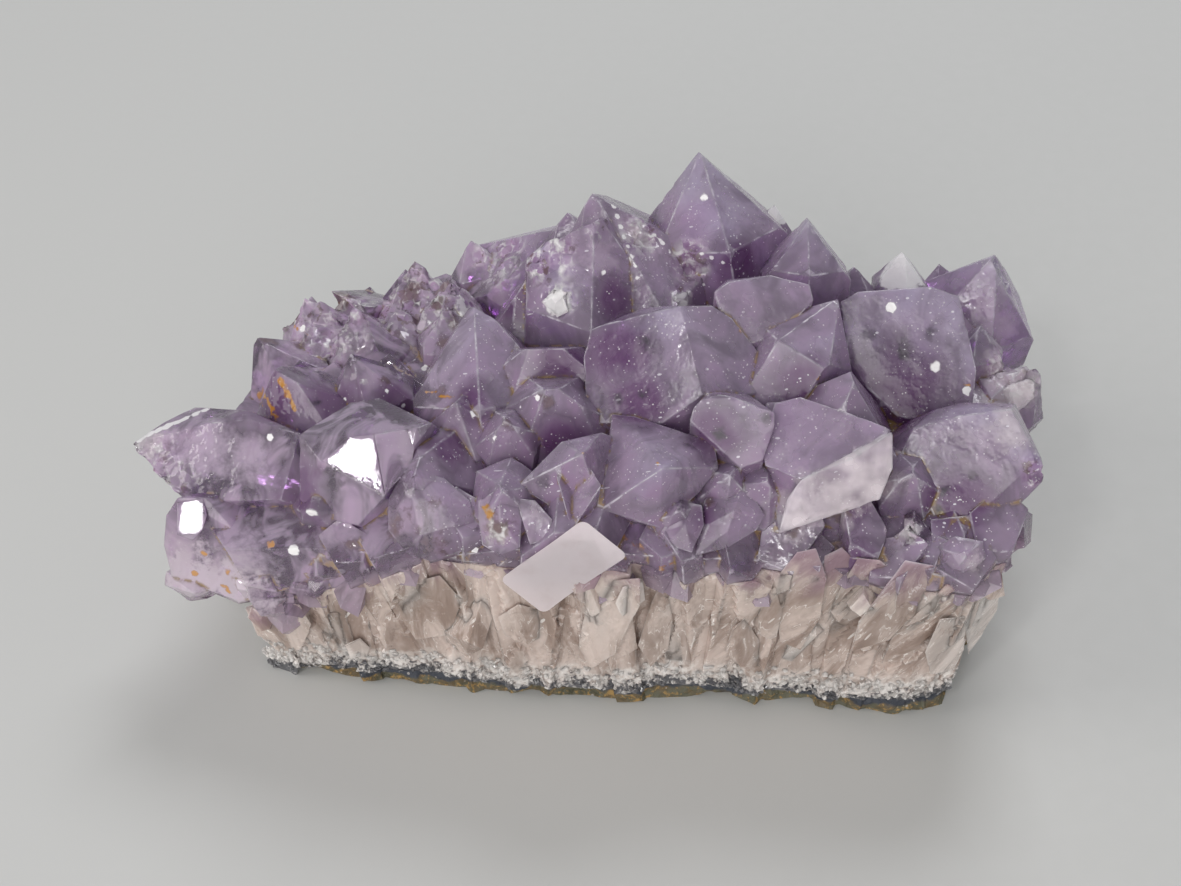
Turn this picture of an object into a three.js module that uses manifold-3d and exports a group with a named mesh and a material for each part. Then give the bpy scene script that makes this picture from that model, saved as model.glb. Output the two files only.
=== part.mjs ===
// Amethyst cluster: a hand-sized block broken from a geode wall.
// Purple quartz points stand on columnar milky quartz, which sits on a thin rind of dark rock.
// Millimetres, +Z up, X along the block, the long front wall towards -Y.
// The origin is the middle of the underside of the block's bounding box.

import * as THREE from 'three';
import { ConvexGeometry } from 'three/addons/geometries/ConvexGeometry.js';
import { mergeVertices } from 'three/addons/utils/BufferGeometryUtils.js';
import Module from 'manifold-3d';

// Driving dimensions, in millimetres and degrees
const GAP = 0.3; // left between pieces that touch
const FACE_TILT = 51.8; // angle between a point's axis and the normal of its end faces
const ROOT_LENGTH = 60; // how far a point's shaft runs down into the block before it is cut
const BLOCK_HEIGHT = 37; // top of the broken wall below the points
const BED_COVER = 3; // how far the block is raised before its top is cut to the bed's shape
const FLARE = 0.05; // how much wider the block is at its rim than at its foot
const LEFT_FLARE = 0.22; // the same at the overhanging left end
const SMALLEST_EDGE = 0.1; // finer facets than this are merged

// The wavy solids that part the layers
const LAYER_STEPS = [14, 7]; // facets along X and Y
const LAYER_REACH = [160, 100]; // plan size
const LAYER_DEPTH = 100; // how far they run below the block's foot, past every shaft

// Columns along the broken wall: each value pair is the least and the most
const COLUMN_PITCH = 5;
const COLUMN_SIDES = 5;
const COLUMN_RADIUS = [2.6, 5.2];
const COLUMN_TAPER = { top: 1.3, foot: 0.6 };
const COLUMN_WIDTH = [0.75, 1.25]; // share of its depth
const COLUMN_LEAN = { along: 14, across: 8 };
const COLUMN_INSET = [0.45, 0.8]; // share of the radius that lies inside the outline
const COLUMN_RISE = [3, 8]; // how far a column stands above the milky layer
const SNAP_TILT = [15, 50]; // slant of the face where a column is snapped off
const SNAP_SPREAD = 120; // range of that face's heading

// Chance variation of the whole points, as shares of the shaft's radius
const END_SET_BACK = 0.15; // the most that every second end face is set back
const SHAFT_FACES = [0.86, 1.06]; // distance of a shaft's faces from its axis

// Small points between the main ones and over the unseen back
const FILLER_FIELD = { left: -45, right: 58, front: 4, back: 30 };
const FILLER_PITCH = { x: 8.5, y: 8 };
const FILLER_SCATTER = 5;
const FILLER_RADIUS = [4, 6.5];
const FILLER_RISE = [4.5, 7.5];
const FILLER_CLEARANCE = 0.8; // share of a main point's radius that stays free of them
const FILLER_LEAN = { front: 6, back: 30 };

// Paper sticker on the front wall, and the broken crystal face that it is stuck to
const LABEL_SIZE = [17, 8.4, 0.3]; // length, height, thickness
const LABEL_CORNER = 1.1; // radius of the sticker's corners
const LABEL_CENTRE = [-3.7, -33.4, 32.5];
const LABEL_TURN = { lift: 2, heading: -7, roll: 47 }; // how the sticker sits on the wall
const LABEL_CLEARING = 30; // everything in front of the sticker is cleared this far out
const PAD_SIDES = 7;
const PAD_RADIUS = { face: 5.4, root: 8.5 };
const PAD_DEPTH = 14;
const PAD_STRETCH = 1.45; // its length over its width

// Plan outline of the block at its underside, counter-clockwise from the front left corner
const OUTLINE = [
  [-44.5, -24.5], [-30, -26.5], [-14, -28.5], [2, -30], [17, -29.5], [33, -30.5], [46, -33], [53, -31],
  [57, -20], [59, -4], [58, 12], [53, 22], [40, 27], [26, 32], [8, 33], [-14, 29], [-30, 25],
  [-40, 19], [-44, 8], [-48, -4], [-48.5, -17],
];

// Whole points: tip, radius of the shaft, lean from upright, heading of the lean
// (0 is right, 90 is the back, 180 is left, 270 is the front) and turn about the axis.
// setBack moves each of the six end faces outwards, which makes large and small faces,
// and crest is [length, heading] where the end is a chisel edge.
const BACK_ROW = [
  { tip: [16.4, 24, 62], radius: 10.5, lean: 16, toward: 125, turn: 12, setBack: [0, 0, 0, 0.5, 1, 1] },
  { tip: [28.5, 25, 52], radius: 4, lean: 12, toward: 60, turn: 10 },
  { tip: [32, 14, 57], radius: 6.5, lean: 20, toward: 90, turn: 58, setBack: [0.5, 0.5, 0, 1, 1, 0] },
  { tip: [66, -0.5, 40.5], radius: 6.5, lean: 30, toward: 0, turn: 20 },
  { tip: [40, 15, 47.5], radius: 4, lean: 10, toward: 80, turn: 40 },
  { tip: [47.5, 17.5, 48.5], radius: 4.5, lean: 15, toward: 90, turn: 0 },
  { tip: [61.5, 17.5, 47], radius: 9, lean: 8, toward: 323, turn: 3, setBack: [0, 2.5, 0.5, 0.5, 0.5, 1] },
  { tip: [0.4, 17, 59.4], radius: 13, lean: 19, toward: 163, turn: 25, setBack: [0, 2.5, 0, 1, 0.5, 0.5] },
  { tip: [0.5, 10.5, 59], radius: 9.5, lean: 4, toward: 25, turn: 2, setBack: [1, 2, 0, 2.5, 0, 0] },
  { tip: [-3.5, 20, 54], radius: 5, lean: 12, toward: 150, turn: 25 },
  { tip: [-6, 23.5, 48.5], radius: 11, lean: 17, toward: 310, turn: 58, setBack: [2, 0, 1, 3, 3, 1] },
  { tip: [-19, 27.5, 43.5], radius: 4.5, lean: 20, toward: 140, turn: 30 },
];

const MIDDLE_ROW = [
  { tip: [34.5, -2.5, 54.5], radius: 6.5, lean: 39, toward: 38, turn: 11, setBack: [0.5, 2, 0, 0, 0, 0.5] },
  { tip: [35.6, -14.8, 51.5], radius: 11, lean: 8, toward: 0, turn: 7, setBack: [0, 0.5, 0, 0, 2.5, 1.5] },
  { tip: [-17, 3, 49], radius: 10, lean: 27, toward: 102, turn: 2, setBack: [1, 0, 2, 0.5, 0, 0] },
  { tip: [-9.5, 10, 49], radius: 7, lean: 10, toward: 200, turn: 40 },
  { tip: [-6, -6, 47.5], radius: 7, lean: 15, toward: 260, turn: 30, crest: [8, -15] },
  { tip: [-5, -13.5, 46], radius: 7, lean: 25, toward: 265, turn: 30, crest: [7, -25] },
];

const FRONT_ROW = [
  { tip: [19, -26.5, 43], radius: 4.5, lean: 30, toward: 280, turn: 0 },
  { tip: [24, -26.5, 42], radius: 4.5, lean: 30, toward: 290, turn: 15 },
  { tip: [12, -30, 40], radius: 4.5, lean: 40, toward: 270, turn: 40 },
  { tip: [44, -25, 42], radius: 5, lean: 30, toward: 270, turn: 20 },
  { tip: [51, -31, 35], radius: 5.5, lean: 55, toward: 285, turn: 10 },
  { tip: [-12, -17, 44.5], radius: 5.5, lean: 25, toward: 255, turn: 35 },
  { tip: [-19, -13, 44.5], radius: 6, lean: 15, toward: 230, turn: 15 },
  { tip: [-12, -28.5, 42], radius: 5.5, lean: 35, toward: 260, turn: 50 },
  { tip: [-24, -25.5, 42], radius: 8.5, lean: 40, toward: 262, turn: 20 },
];

const LEFT_END = [
  { tip: [-46, -3.5, 42.5], radius: 9, lean: 20, toward: 190, turn: 30 },
  { tip: [-35, -1, 43.5], radius: 7, lean: 15, toward: 170, turn: 5 },
  { tip: [-39, -25, 35], radius: 6.5, lean: 55, toward: 250, turn: 15 },
  { tip: [-38.5, -29, 26], radius: 5.5, lean: 70, toward: 262, turn: 40 },
  { tip: [-36, 12, 42], radius: 7.5, lean: 15, toward: 150, turn: 20 },
  { tip: [-44.5, 17, 40], radius: 7, lean: 25, toward: 140, turn: 50 },
  { tip: [-51, 9, 38.5], radius: 7.5, lean: 30, toward: 170, turn: 10 },
  { tip: [-27.5, 22, 43.5], radius: 7.5, lean: 20, toward: 110, turn: 35 },
  { tip: [-22, 17, 44], radius: 6.5, lean: 12, toward: 100, turn: 5 },
];

// Broken and misshapen crystals: the corners of the faces that are left at the free end,
// and the lean and heading of the shaft that carries them.
const BROKEN = [
  { // largest crystal of the middle row
    lean: 12, toward: 260,
    crown: [
      [12.5, -6.5, 56.5], [2, -5.5, 52.5], [0, -5.5, 51.5], [-1, -8, 48.5], [-0.5, -13, 43],
      [1, -14.5, 42], [10, -17, 44], [15.5, -15.5, 48], [20.5, -14.5, 47], [17, -4.5, 55],
      [20, -5, 53], [23, -8, 49.5], [28, -11, 45], [8, 3, 49], [18, 3, 49],
    ],
  },
  { // small crystal in front of it
    lean: 20, toward: 265,
    crown: [
      [14, -19.5, 49], [15, -19, 50], [17.5, -18.5, 50.5], [19.5, -19, 50.5], [25, -20.5, 49],
      [25, -21.5, 47.5], [23, -22.5, 46], [23.5, -24, 43.5], [20.5, -24.5, 42.5], [17, -22, 45.5],
      [13.5, -20.5, 47.5], [17, -12, 46], [22, -13, 46],
    ],
  },
  { // rounded pair on the front rim, right half
    lean: 40, toward: 275,
    crown: [
      [9.5, -29.5, 47], [6.5, -20.5, 45.5], [3, -15, 44], [6, -16, 44.5], [16, -21, 44.5],
      [17, -21.5, 44], [17.5, -24, 42], [15, -26.5, 40], [9.5, -29.5, 36], [1.5, -29.5, 39.5],
    ],
  },
  { // rounded pair on the front rim, left half
    lean: 45, toward: 255,
    crown: [
      [-1, -26, 46.5], [-4, -22, 45], [-2, -21.5, 45], [1.5, -20, 45], [-10, -25.5, 40],
      [-3.5, -28, 37], [1.5, -28.5, 38], [4, -18, 42],
    ],
  },
  { // broad dark crystal at the right
    lean: 8, toward: 275,
    crown: [
      [36, 1, 51.5], [38.5, 2, 52.5], [49, 2, 53.5], [53, 1, 52.5], [55.5, -6, 44.5], [55, -9, 41],
      [48.5, -10.5, 39], [44.5, -10, 39], [40, -7, 42], [37.5, -4.5, 44.5], [40, 10, 46], [51, 9, 46],
    ],
  },
  { // chisel end behind the middle
    lean: 8, toward: 280,
    crown: [
      [17.5, -2, 55.5], [19.5, -1, 56.5], [25.5, 0, 57], [31, -1, 56], [31.5, -2.5, 54.5],
      [27, -6, 51], [22, -7, 50], [18.5, -4.5, 52.5], [20, 7, 51], [29, 6, 51],
    ],
  },
  { // large point on the front rim, its front snapped off
    lean: 35, toward: 300,
    crown: [
      [40.5, -23, 48], [28, -16, 47.5], [24.5, -15.5, 46.5], [23.5, -20.5, 43.5], [24.5, -23.5, 42.5],
      [29.5, -27, 42.5], [36.5, -25, 45.5], [26, -28.5, 34.5], [32, -27, 36.5], [37, -25.5, 36],
      [40.5, -24, 37.5], [42, -22, 39],
    ],
  },
  { // rounded crystal on the front right corner
    lean: 40, toward: 310,
    crown: [
      [45, -17, 43], [51.5, -17, 45.5], [58, -17.5, 47], [61, -23, 42], [52.5, -27, 35],
      [48, -26.5, 34.5], [43.5, -19, 40.5], [48.5, -14, 44], [52.5, -12.5, 44], [59.5, -14, 45],
      [62.5, -23, 41.5], [62.5, -23.5, 39], [58, -25.5, 37], [56.5, -27, 33],
    ],
  },
  { // flat crystal that overhangs the left end
    lean: 50, toward: 200,
    crown: [
      [-65, -10, 33], [-61, -8.5, 35.5], [-55, -9.5, 37.5], [-49, -10.5, 39], [-41.5, -13.5, 39],
      [-44, -20.5, 32.5], [-50.5, -19, 31.5], [-58.5, -17.5, 29.5], [-62, -14.5, 30.5],
      [-67.5, -9, 33], [-63, -6, 34.5], [-59, -2.5, 34.5], [-55.5, -4, 35.5], [-49.5, -8, 38.5],
    ],
  },
  { // lilac crystal that hangs below the left end
    lean: 70, toward: 225,
    crown: [
      [-59, -19.5, 32], [-55, -19.5, 32], [-51, -22, 28], [-47, -22.5, 25], [-47, -24, 20],
      [-48.5, -25.5, 15], [-54.5, -22.5, 15], [-61.5, -22.5, 19], [-62, -21, 24], [-61, -20, 29],
    ],
  },
  { // its blunt lower lobe
    lean: 80, toward: 215,
    crown: [
      [-62.5, -21.5, 19], [-59.5, -22.5, 14], [-57, -22, 14], [-63, -22, 16.5], [-58, -25, 18],
      [-57, -18, 20],
    ],
  },
  { // crystal with the bright end face at the left
    lean: 35, toward: 250,
    crown: [
      [-37.5, -21, 40.5], [-34, -18.5, 43], [-24, -18.5, 44.5], [-24.5, -20.5, 42.5],
      [-28.5, -25, 37.5], [-41, -16, 41], [-34.5, -9, 41], [-30.5, -8, 41], [-22, -17, 44],
      [-41, -22, 34], [-36.5, -24, 32], [-32.5, -25.5, 32.5],
    ],
  },
];

const wasm = await Module();
wasm.setup();
const UP = new THREE.Vector3(0, 0, 1);
const radians = THREE.MathUtils.degToRad;

// A repeatable stream of numbers from 0 to 1
function numberStream(seed) {
  let state = seed;
  return () => {
    state = (state * 16807) % 2147483647;
    return state / 2147483647;
  };
}

const random = numberStream(20417);

// The next number of the stream, spread between two limits
function between([least, most]) {
  return least + (most - least) * random();
}

// The next number of the stream, spread over a range about zero
function about(range) {
  return range * (random() - 0.5);
}

// Unit vector that leans away from upright towards a heading
function leaning(lean, toward) {
  const out = Math.sin(radians(lean));
  return new THREE.Vector3(
    out * Math.cos(radians(toward)),
    out * Math.sin(radians(toward)),
    Math.cos(radians(lean)),
  );
}

// A closed three.js geometry as a solid that can be joined and cut
function solidOf(geometry) {
  const bare = geometry.clone();
  bare.deleteAttribute('normal');
  bare.deleteAttribute('uv');
  const merged = mergeVertices(bare, 1e-3);
  return new wasm.Manifold(new wasm.Mesh({
    numProp: 3,
    vertProperties: new Float32Array(merged.attributes.position.array),
    triVerts: new Uint32Array(merged.index.array),
  }));
}

function joined(solids) {
  return solids.reduce((whole, solid) => whole.add(solid));
}

// The one body that is left of a solid once loose slivers and sealed hollows are dropped
function mainBody(solid) {
  return solid.decompose().reduce((best, body) => (body.volume() > best.volume() ? body : best));
}

// Keep the side of a solid that lies behind a face with this outward normal
function cutByFace(solid, normal, distance) {
  return solid.trimByPlane([-normal.x, -normal.y, -normal.z], -distance);
}

// One quartz point: a six-sided shaft that ends in six faces
function quartzPoint({ tip, radius, lean, toward, turn, setBack, crest = [0, 0] }) {
  const apex = new THREE.Vector3(...tip);
  const stand = new THREE.Quaternion().setFromUnitVectors(UP, leaning(lean, toward));
  const edge = leaning(90, crest[1]).multiplyScalar(crest[0] / 2);
  const block = new THREE.BoxGeometry(6 * radius, 6 * radius, ROOT_LENGTH);
  block.translate(0, 0, radius - ROOT_LENGTH / 2);
  block.applyQuaternion(stand);
  block.translate(...tip);
  let point = solidOf(block);
  const cut = (normal, slack) => {
    const reach = normal.dot(apex) + Math.abs(normal.dot(edge)) + slack;
    point = cutByFace(point, normal, reach);
  };
  for (let k = 0; k < 6; k += 1) {
    const around = turn + 60 * k;
    const chance = k % 2 ? radius * between([0, END_SET_BACK]) : 0;
    const shaft = setBack ? radius : radius * between(SHAFT_FACES);
    cut(leaning(FACE_TILT, around).applyQuaternion(stand), setBack ? setBack[k] : chance);
    cut(leaning(90, around).applyQuaternion(stand), shaft);
  }
  return point;
}

// A crystal known by the corners of its end, with its shaft running down into the block
function brokenCrystal({ crown, lean, toward }) {
  const root = leaning(lean, toward).multiplyScalar(-ROOT_LENGTH / 2);
  const corners = crown.map((corner) => new THREE.Vector3(...corner));
  const buried = corners.map((corner) => corner.clone().add(root));
  return solidOf(new ConvexGeometry([...corners, ...buried]));
}

// Height of the boundary between milky and purple quartz
function purpleFloor(x, y) {
  const fall = THREE.MathUtils.smoothstep(-x, 18, 56) * 15;
  const wave = 1.4 * Math.sin(x * 0.31 + y * 0.12) + 0.9 * Math.sin(x * 0.73 - y * 0.21 + 1.3);
  return 29.5 - fall + wave;
}

// Height of the rough ground that the points stand on, above the broken wall's rim
function bedTop(x, y) {
  const leftFall = THREE.MathUtils.smoothstep(-x, 10, 52) * 6;
  const frontFall = THREE.MathUtils.smoothstep(-y, 14, 30) * 6;
  const backFall = THREE.MathUtils.smoothstep(y, 12, 30) * 5;
  return BLOCK_HEIGHT - leftFall - frontFall - backFall + 1.2 * Math.sin(x * 0.4 + y * 0.5);
}

// Height of the top of the rock rind
function rindTop(x, y) {
  const thin = THREE.MathUtils.smoothstep(-x, 20, 42) * 1.5;
  const dips = 0.9 * Math.sin(x * 0.16 + y * 0.05 + 1.2) + 0.4 * Math.sin(x * 0.6 + y * 0.4);
  return 3.3 - thin + dips;
}

// Everything below a wavy surface, down to well under the block
function solidBelow(heightAt, offset) {
  const slab = new THREE.BoxGeometry(...LAYER_REACH, 1, ...LAYER_STEPS, 1);
  const place = slab.attributes.position;
  for (let i = 0; i < place.count; i += 1) {
    const top = heightAt(place.getX(i), place.getY(i)) + offset;
    place.setZ(i, place.getZ(i) > 0 ? top : -LAYER_DEPTH);
  }
  return solidOf(slab);
}

// Lean the walls of an upright shape outwards: the left end overhangs, the rest leans a little
function flare(geometry) {
  const place = geometry.attributes.position;
  for (let i = 0; i < place.count; i += 1) {
    const rise = place.getZ(i) / BLOCK_HEIGHT;
    const spread = 1 + (place.getX(i) < 0 ? LEFT_FLARE : FLARE) * rise;
    place.setXYZ(i, place.getX(i) * spread, place.getY(i) * (1 + FLARE * rise), place.getZ(i));
  }
  return geometry;
}

// The plan outline raised into a block
function outlineSolid(height) {
  const shape = new THREE.Shape(OUTLINE.map(([x, y]) => new THREE.Vector2(x, y)));
  return solidOf(flare(new THREE.ExtrudeGeometry(shape, { depth: height, bevelEnabled: false })));
}

// Places spaced along the outline, each with the heading that faces out of the block
function alongOutline(pitch) {
  const corners = OUTLINE.map(([x, y]) => new THREE.Vector2(x, y));
  const stops = [];
  corners.forEach((from, i) => {
    const to = corners[(i + 1) % corners.length];
    const side = to.clone().sub(from);
    const count = Math.max(1, Math.round(side.length() / pitch));
    const outward = THREE.MathUtils.radToDeg(side.angle()) - 90;
    for (let k = 0; k < count; k += 1) {
      stops.push({ at: from.clone().addScaledVector(side, (k + 0.5) / count), outward });
    }
  });
  return stops;
}

// One broken column of quartz in the wall, snapped off at its own slant
function wallColumn({ at, outward }) {
  const radius = between(COLUMN_RADIUS);
  const column = new THREE.CylinderGeometry(
    radius * COLUMN_TAPER.top,
    radius * COLUMN_TAPER.foot,
    2 * BLOCK_HEIGHT,
    COLUMN_SIDES,
  );
  column.scale(between(COLUMN_WIDTH), 1, 1);
  column.rotateX(Math.PI / 2);
  column.rotateZ(about(2 * Math.PI));
  column.rotateY(radians(about(COLUMN_LEAN.along)));
  column.rotateX(radians(about(COLUMN_LEAN.across)));
  const inset = leaning(90, outward).multiplyScalar(-radius * between(COLUMN_INSET));
  const [x, y] = [at.x + inset.x, at.y + inset.y];
  column.translate(x, y, BLOCK_HEIGHT / 2);
  const top = new THREE.Vector3(x, y, purpleFloor(x, y) + between(COLUMN_RISE));
  const snap = leaning(between(SNAP_TILT), outward + about(SNAP_SPREAD));
  return cutByFace(solidOf(flare(column)), snap, snap.dot(top));
}

// Small points in a scattered grid, wherever no main point stands
function fillerPoints(mainPoints) {
  const { left, right, front, back } = FILLER_FIELD;
  const fillers = [];
  for (let column = left; column <= right; column += FILLER_PITCH.x) {
    for (let row = front; row <= back; row += FILLER_PITCH.y) {
      const [x, y] = [column + about(FILLER_SCATTER), row + about(FILLER_SCATTER)];
      const turn = between([0, 60]);
      const radius = between(FILLER_RADIUS);
      const lean = THREE.MathUtils.mapLinear(y, 0, back, FILLER_LEAN.front, FILLER_LEAN.back);
      const isClear = (main) => (
        Math.hypot(main.tip[0] - x, main.tip[1] - y) > FILLER_CLEARANCE * main.radius
      );
      if (mainPoints.every(isClear)) {
        const tip = [x, y, bedTop(x, y) + between(FILLER_RISE)];
        fillers.push({ tip, radius, lean, toward: 90, turn });
      }
    }
  }
  return fillers;
}

// Set a shape that faces +Z against the wall, where the sticker is
function onWall(geometry) {
  geometry.rotateZ(radians(LABEL_TURN.roll));
  geometry.rotateX(radians(90 - LABEL_TURN.lift));
  geometry.rotateZ(radians(LABEL_TURN.heading));
  return solidOf(geometry.translate(...LABEL_CENTRE));
}

// The sticker's outline, grown all round, as a plate from one depth to another
function labelPlate(grow, from, to) {
  const [length, height] = LABEL_SIZE.map((size) => size / 2 + grow);
  const corner = LABEL_CORNER + grow;
  const shape = new THREE.Shape();
  shape.absarc(length - corner, height - corner, corner, 0, Math.PI / 2);
  shape.absarc(corner - length, height - corner, corner, Math.PI / 2, Math.PI);
  shape.absarc(corner - length, corner - height, corner, Math.PI, 1.5 * Math.PI);
  shape.absarc(length - corner, corner - height, corner, 1.5 * Math.PI, 2 * Math.PI);
  const plate = new THREE.ExtrudeGeometry(shape, {
    depth: to - from, bevelEnabled: false, curveSegments: 4,
  });
  return onWall(plate.translate(0, 0, from));
}

// The broken crystal behind the sticker, which faces out of the wall
function labelPad() {
  const pad = new THREE.CylinderGeometry(PAD_RADIUS.face, PAD_RADIUS.root, PAD_DEPTH, PAD_SIDES);
  pad.rotateX(Math.PI / 2);
  pad.scale(PAD_STRETCH, 1, 1);
  return onWall(pad.translate(0, 0, -GAP - PAD_DEPTH / 2));
}

// Solid back to a mesh with flat faces
function meshOf(solid, name, colour, roughness) {
  const { vertProperties, triVerts } = mainBody(solid.simplify(SMALLEST_EDGE)).getMesh();
  const geometry = new THREE.BufferGeometry();
  geometry.setAttribute('position', new THREE.BufferAttribute(new Float32Array(vertProperties), 3));
  geometry.setIndex(new THREE.BufferAttribute(new Uint32Array(triVerts), 1));
  const material = new THREE.MeshStandardMaterial({
    color: colour, roughness, metalness: 0, flatShading: true,
  });
  const mesh = new THREE.Mesh(geometry, material);
  mesh.name = name;
  return mesh;
}

const core = outlineSolid(BLOCK_HEIGHT + BED_COVER).intersect(solidBelow(bedTop, 0));
const columns = alongOutline(COLUMN_PITCH).map(wallColumn);
const block = cutByFace(joined([core, ...columns, labelPad()]), UP.clone().negate(), 0);

const mainPoints = [...BACK_ROW, ...MIDDLE_ROW, ...FRONT_ROW, ...LEFT_END];
const wholePoints = [...mainPoints, ...fillerPoints(mainPoints)].map(quartzPoint);
const labelSeat = labelPlate(GAP, -GAP, LABEL_CLEARING);

const crystals = joined([block, ...wholePoints, ...BROKEN.map(brokenCrystal)])
  .subtract(solidBelow(purpleFloor, GAP / 2))
  .subtract(labelSeat);
const milky = block
  .intersect(solidBelow(purpleFloor, -GAP / 2))
  .subtract(solidBelow(rindTop, GAP / 2))
  .subtract(labelSeat);
const rind = block.intersect(solidBelow(rindTop, -GAP / 2));

const cluster = new THREE.Group();
cluster.add(
  meshOf(crystals, 'amethyst_crystals', 0x7d63a8, 0.12),
  meshOf(milky, 'milky_quartz_base', 0xd9d0d2, 0.35),
  meshOf(rind, 'rock_rind', 0x4b4438, 0.9),
  meshOf(labelPlate(0, 0, LABEL_SIZE[2]), 'paper_label', 0xe9dadd, 0.8),
);

// Stand the block on its underside with the middle of its box at the origin
const bounds = new THREE.Box3().setFromObject(cluster);
const middle = bounds.getCenter(new THREE.Vector3());
cluster.position.set(-middle.x, -middle.y, -bounds.min.z);

export default cluster;
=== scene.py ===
"""The looks of an amethyst cluster: clear purple points on milky quartz and a dark rock rind."""

import logging
import math
from collections.abc import Callable, Sequence
from dataclasses import dataclass, field
from enum import Enum

import bmesh
import bpy
import numpy as np
from mathutils import Matrix, Vector, noise
from mathutils.bvhtree import BVHTree
from mathutils.geometry import delaunay_2d_cdt
from mathutils.kdtree import KDTree


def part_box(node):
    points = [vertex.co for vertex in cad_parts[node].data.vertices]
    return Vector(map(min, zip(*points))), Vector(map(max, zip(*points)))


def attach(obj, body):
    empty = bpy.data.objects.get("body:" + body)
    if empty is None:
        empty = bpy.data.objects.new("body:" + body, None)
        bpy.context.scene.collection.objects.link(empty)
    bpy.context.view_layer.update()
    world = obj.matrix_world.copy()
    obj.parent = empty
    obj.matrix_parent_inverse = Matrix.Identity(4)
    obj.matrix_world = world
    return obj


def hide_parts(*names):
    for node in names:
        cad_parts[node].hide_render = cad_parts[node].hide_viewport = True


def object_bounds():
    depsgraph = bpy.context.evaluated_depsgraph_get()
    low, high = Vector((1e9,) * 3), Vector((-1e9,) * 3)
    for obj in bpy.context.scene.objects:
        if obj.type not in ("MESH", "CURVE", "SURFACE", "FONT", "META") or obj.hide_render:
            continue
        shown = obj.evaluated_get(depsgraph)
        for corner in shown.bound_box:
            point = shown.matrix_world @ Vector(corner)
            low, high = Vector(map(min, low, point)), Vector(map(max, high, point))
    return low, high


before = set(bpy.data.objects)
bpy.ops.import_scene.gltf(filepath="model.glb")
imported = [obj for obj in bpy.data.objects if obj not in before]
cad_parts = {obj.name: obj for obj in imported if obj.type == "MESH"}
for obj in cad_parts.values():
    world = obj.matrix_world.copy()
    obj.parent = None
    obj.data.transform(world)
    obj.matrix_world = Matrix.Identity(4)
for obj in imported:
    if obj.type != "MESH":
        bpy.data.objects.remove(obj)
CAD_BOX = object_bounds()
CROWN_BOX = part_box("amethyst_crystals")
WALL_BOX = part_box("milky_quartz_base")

log = logging.getLogger("cluster")

MM = 0.001
PHOTO_SIZE = (1181, 886)
BODY = "root"
QUARTZ_IOR = 1.544
LOOKS_DOWN = -0.8  # a normal's height, below which its face is part of an underside
UP = Vector((0, 0, 1))
DOWN = Vector((0, 0, -1))

Colour = tuple[float, float, float]
Pixel = tuple[float, float]
Socket = bpy.types.NodeSocket
Turn = tuple[float, float, float]
BMesh = bmesh.types.BMesh
BMFace = bmesh.types.BMFace
Draws = np.random.Generator
Stained = list[tuple[Socket, Colour]]


class Slot(Enum):
    """The record's material slots."""

    AMETHYST = "amethyst"
    MILKY = "milky_quartz"
    ROCK = "rock"
    PAPER = "label_paper"


class Field(Enum):
    """Values that a mesh carries at its points, for its material."""

    RIM = "rim"
    CREVICE = "crevice"
    CLEAR = "clear"
    DOT = "dot"
    INCLUSION = "inclusion"
    STAIN = "stain"
    FRACTURE = "fracture"
    PALE = "pale"
    WHITE = "white"
    VEIL = "veil"
    MIRROR = "mirror"
    DEEP = "deep"
    RISE = "rise"
    FOOT = "foot"
    PURPLE = "purple"
    SHADE = "shade"
    COLUMN = "column"
    BROWN = "brown"


@dataclass(frozen=True)
class PhotoCamera:
    """The photograph's view of the block, and rays through its pixels."""

    aim: Vector = field(default_factory=lambda: Vector((-0.95, -2.31, 25.0)) * MM)
    distance: float = 260 * MM
    elevation: float = math.radians(42)
    focal_pixels: float = 1687.0
    sensor: float = 36.0  # mm wide
    nearest: float = 0.01
    furthest: float = 20.0

    def turn(self) -> Matrix:
        """Returns the rotation from the camera's axes to the frame's."""
        return Matrix.Rotation(math.pi / 2 - self.elevation, 3, "X")

    def eye(self) -> Vector:
        """Returns the camera's place."""
        return self.aim + self.turn() @ Vector((0, 0, self.distance))

    def ray(self, pixel: Pixel) -> Vector:
        """Gives the direction through a pixel of the photograph.

        Args:
            pixel: across and down, in the photograph's own pixels.

        Returns:
            A unit vector in the frame.
        """
        across = (pixel[0] - PHOTO_SIZE[0] / 2) / self.focal_pixels
        down = (pixel[1] - PHOTO_SIZE[1] / 2) / self.focal_pixels
        return (self.turn() @ Vector((across, -down, -1))).normalized()

    def build(self) -> None:
        """Makes the camera and sets it as the scene's own."""
        data = bpy.data.cameras.new("photo_camera")
        data.sensor_width = self.sensor
        data.sensor_fit = "HORIZONTAL"
        data.lens = self.sensor * self.focal_pixels / PHOTO_SIZE[0]
        data.clip_start = self.nearest
        data.clip_end = self.furthest
        camera = bpy.data.objects.new("photo_camera", data)
        camera.matrix_world = Matrix.Translation(self.eye()) @ self.turn().to_4x4()
        bpy.context.scene.collection.objects.link(camera)
        bpy.context.scene.camera = camera


@dataclass(frozen=True)
class Mark:
    """A mark on the crystals that the photograph shows at a pixel."""

    pixel: Pixel
    radius: float  # mm


def needle(radius: float, start: Pixel, end: Pixel, count: int = 6) -> tuple[Mark, ...]:
    """Makes marks in a row, for a long thin inclusion.

    Args:
        radius: their radius in millimetres.
        start: the pixel of the first.
        end: the pixel of the last.
        count: how many.

    Returns:
        The marks.
    """
    shares = [k / (count - 1) for k in range(count)]
    pixels = [tuple(a + (b - a) * share for a, b in zip(start, end, strict=True)) for share in shares]
    return marks(radius, *pixels)


def marks(radius: float, *pixels: Pixel) -> tuple[Mark, ...]:
    """Makes marks of one size.

    Args:
        radius: their radius in millimetres.
        pixels: where the photograph shows them.

    Returns:
        One mark for each pixel.
    """
    return tuple(Mark(pixel, radius) for pixel in pixels)


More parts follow.
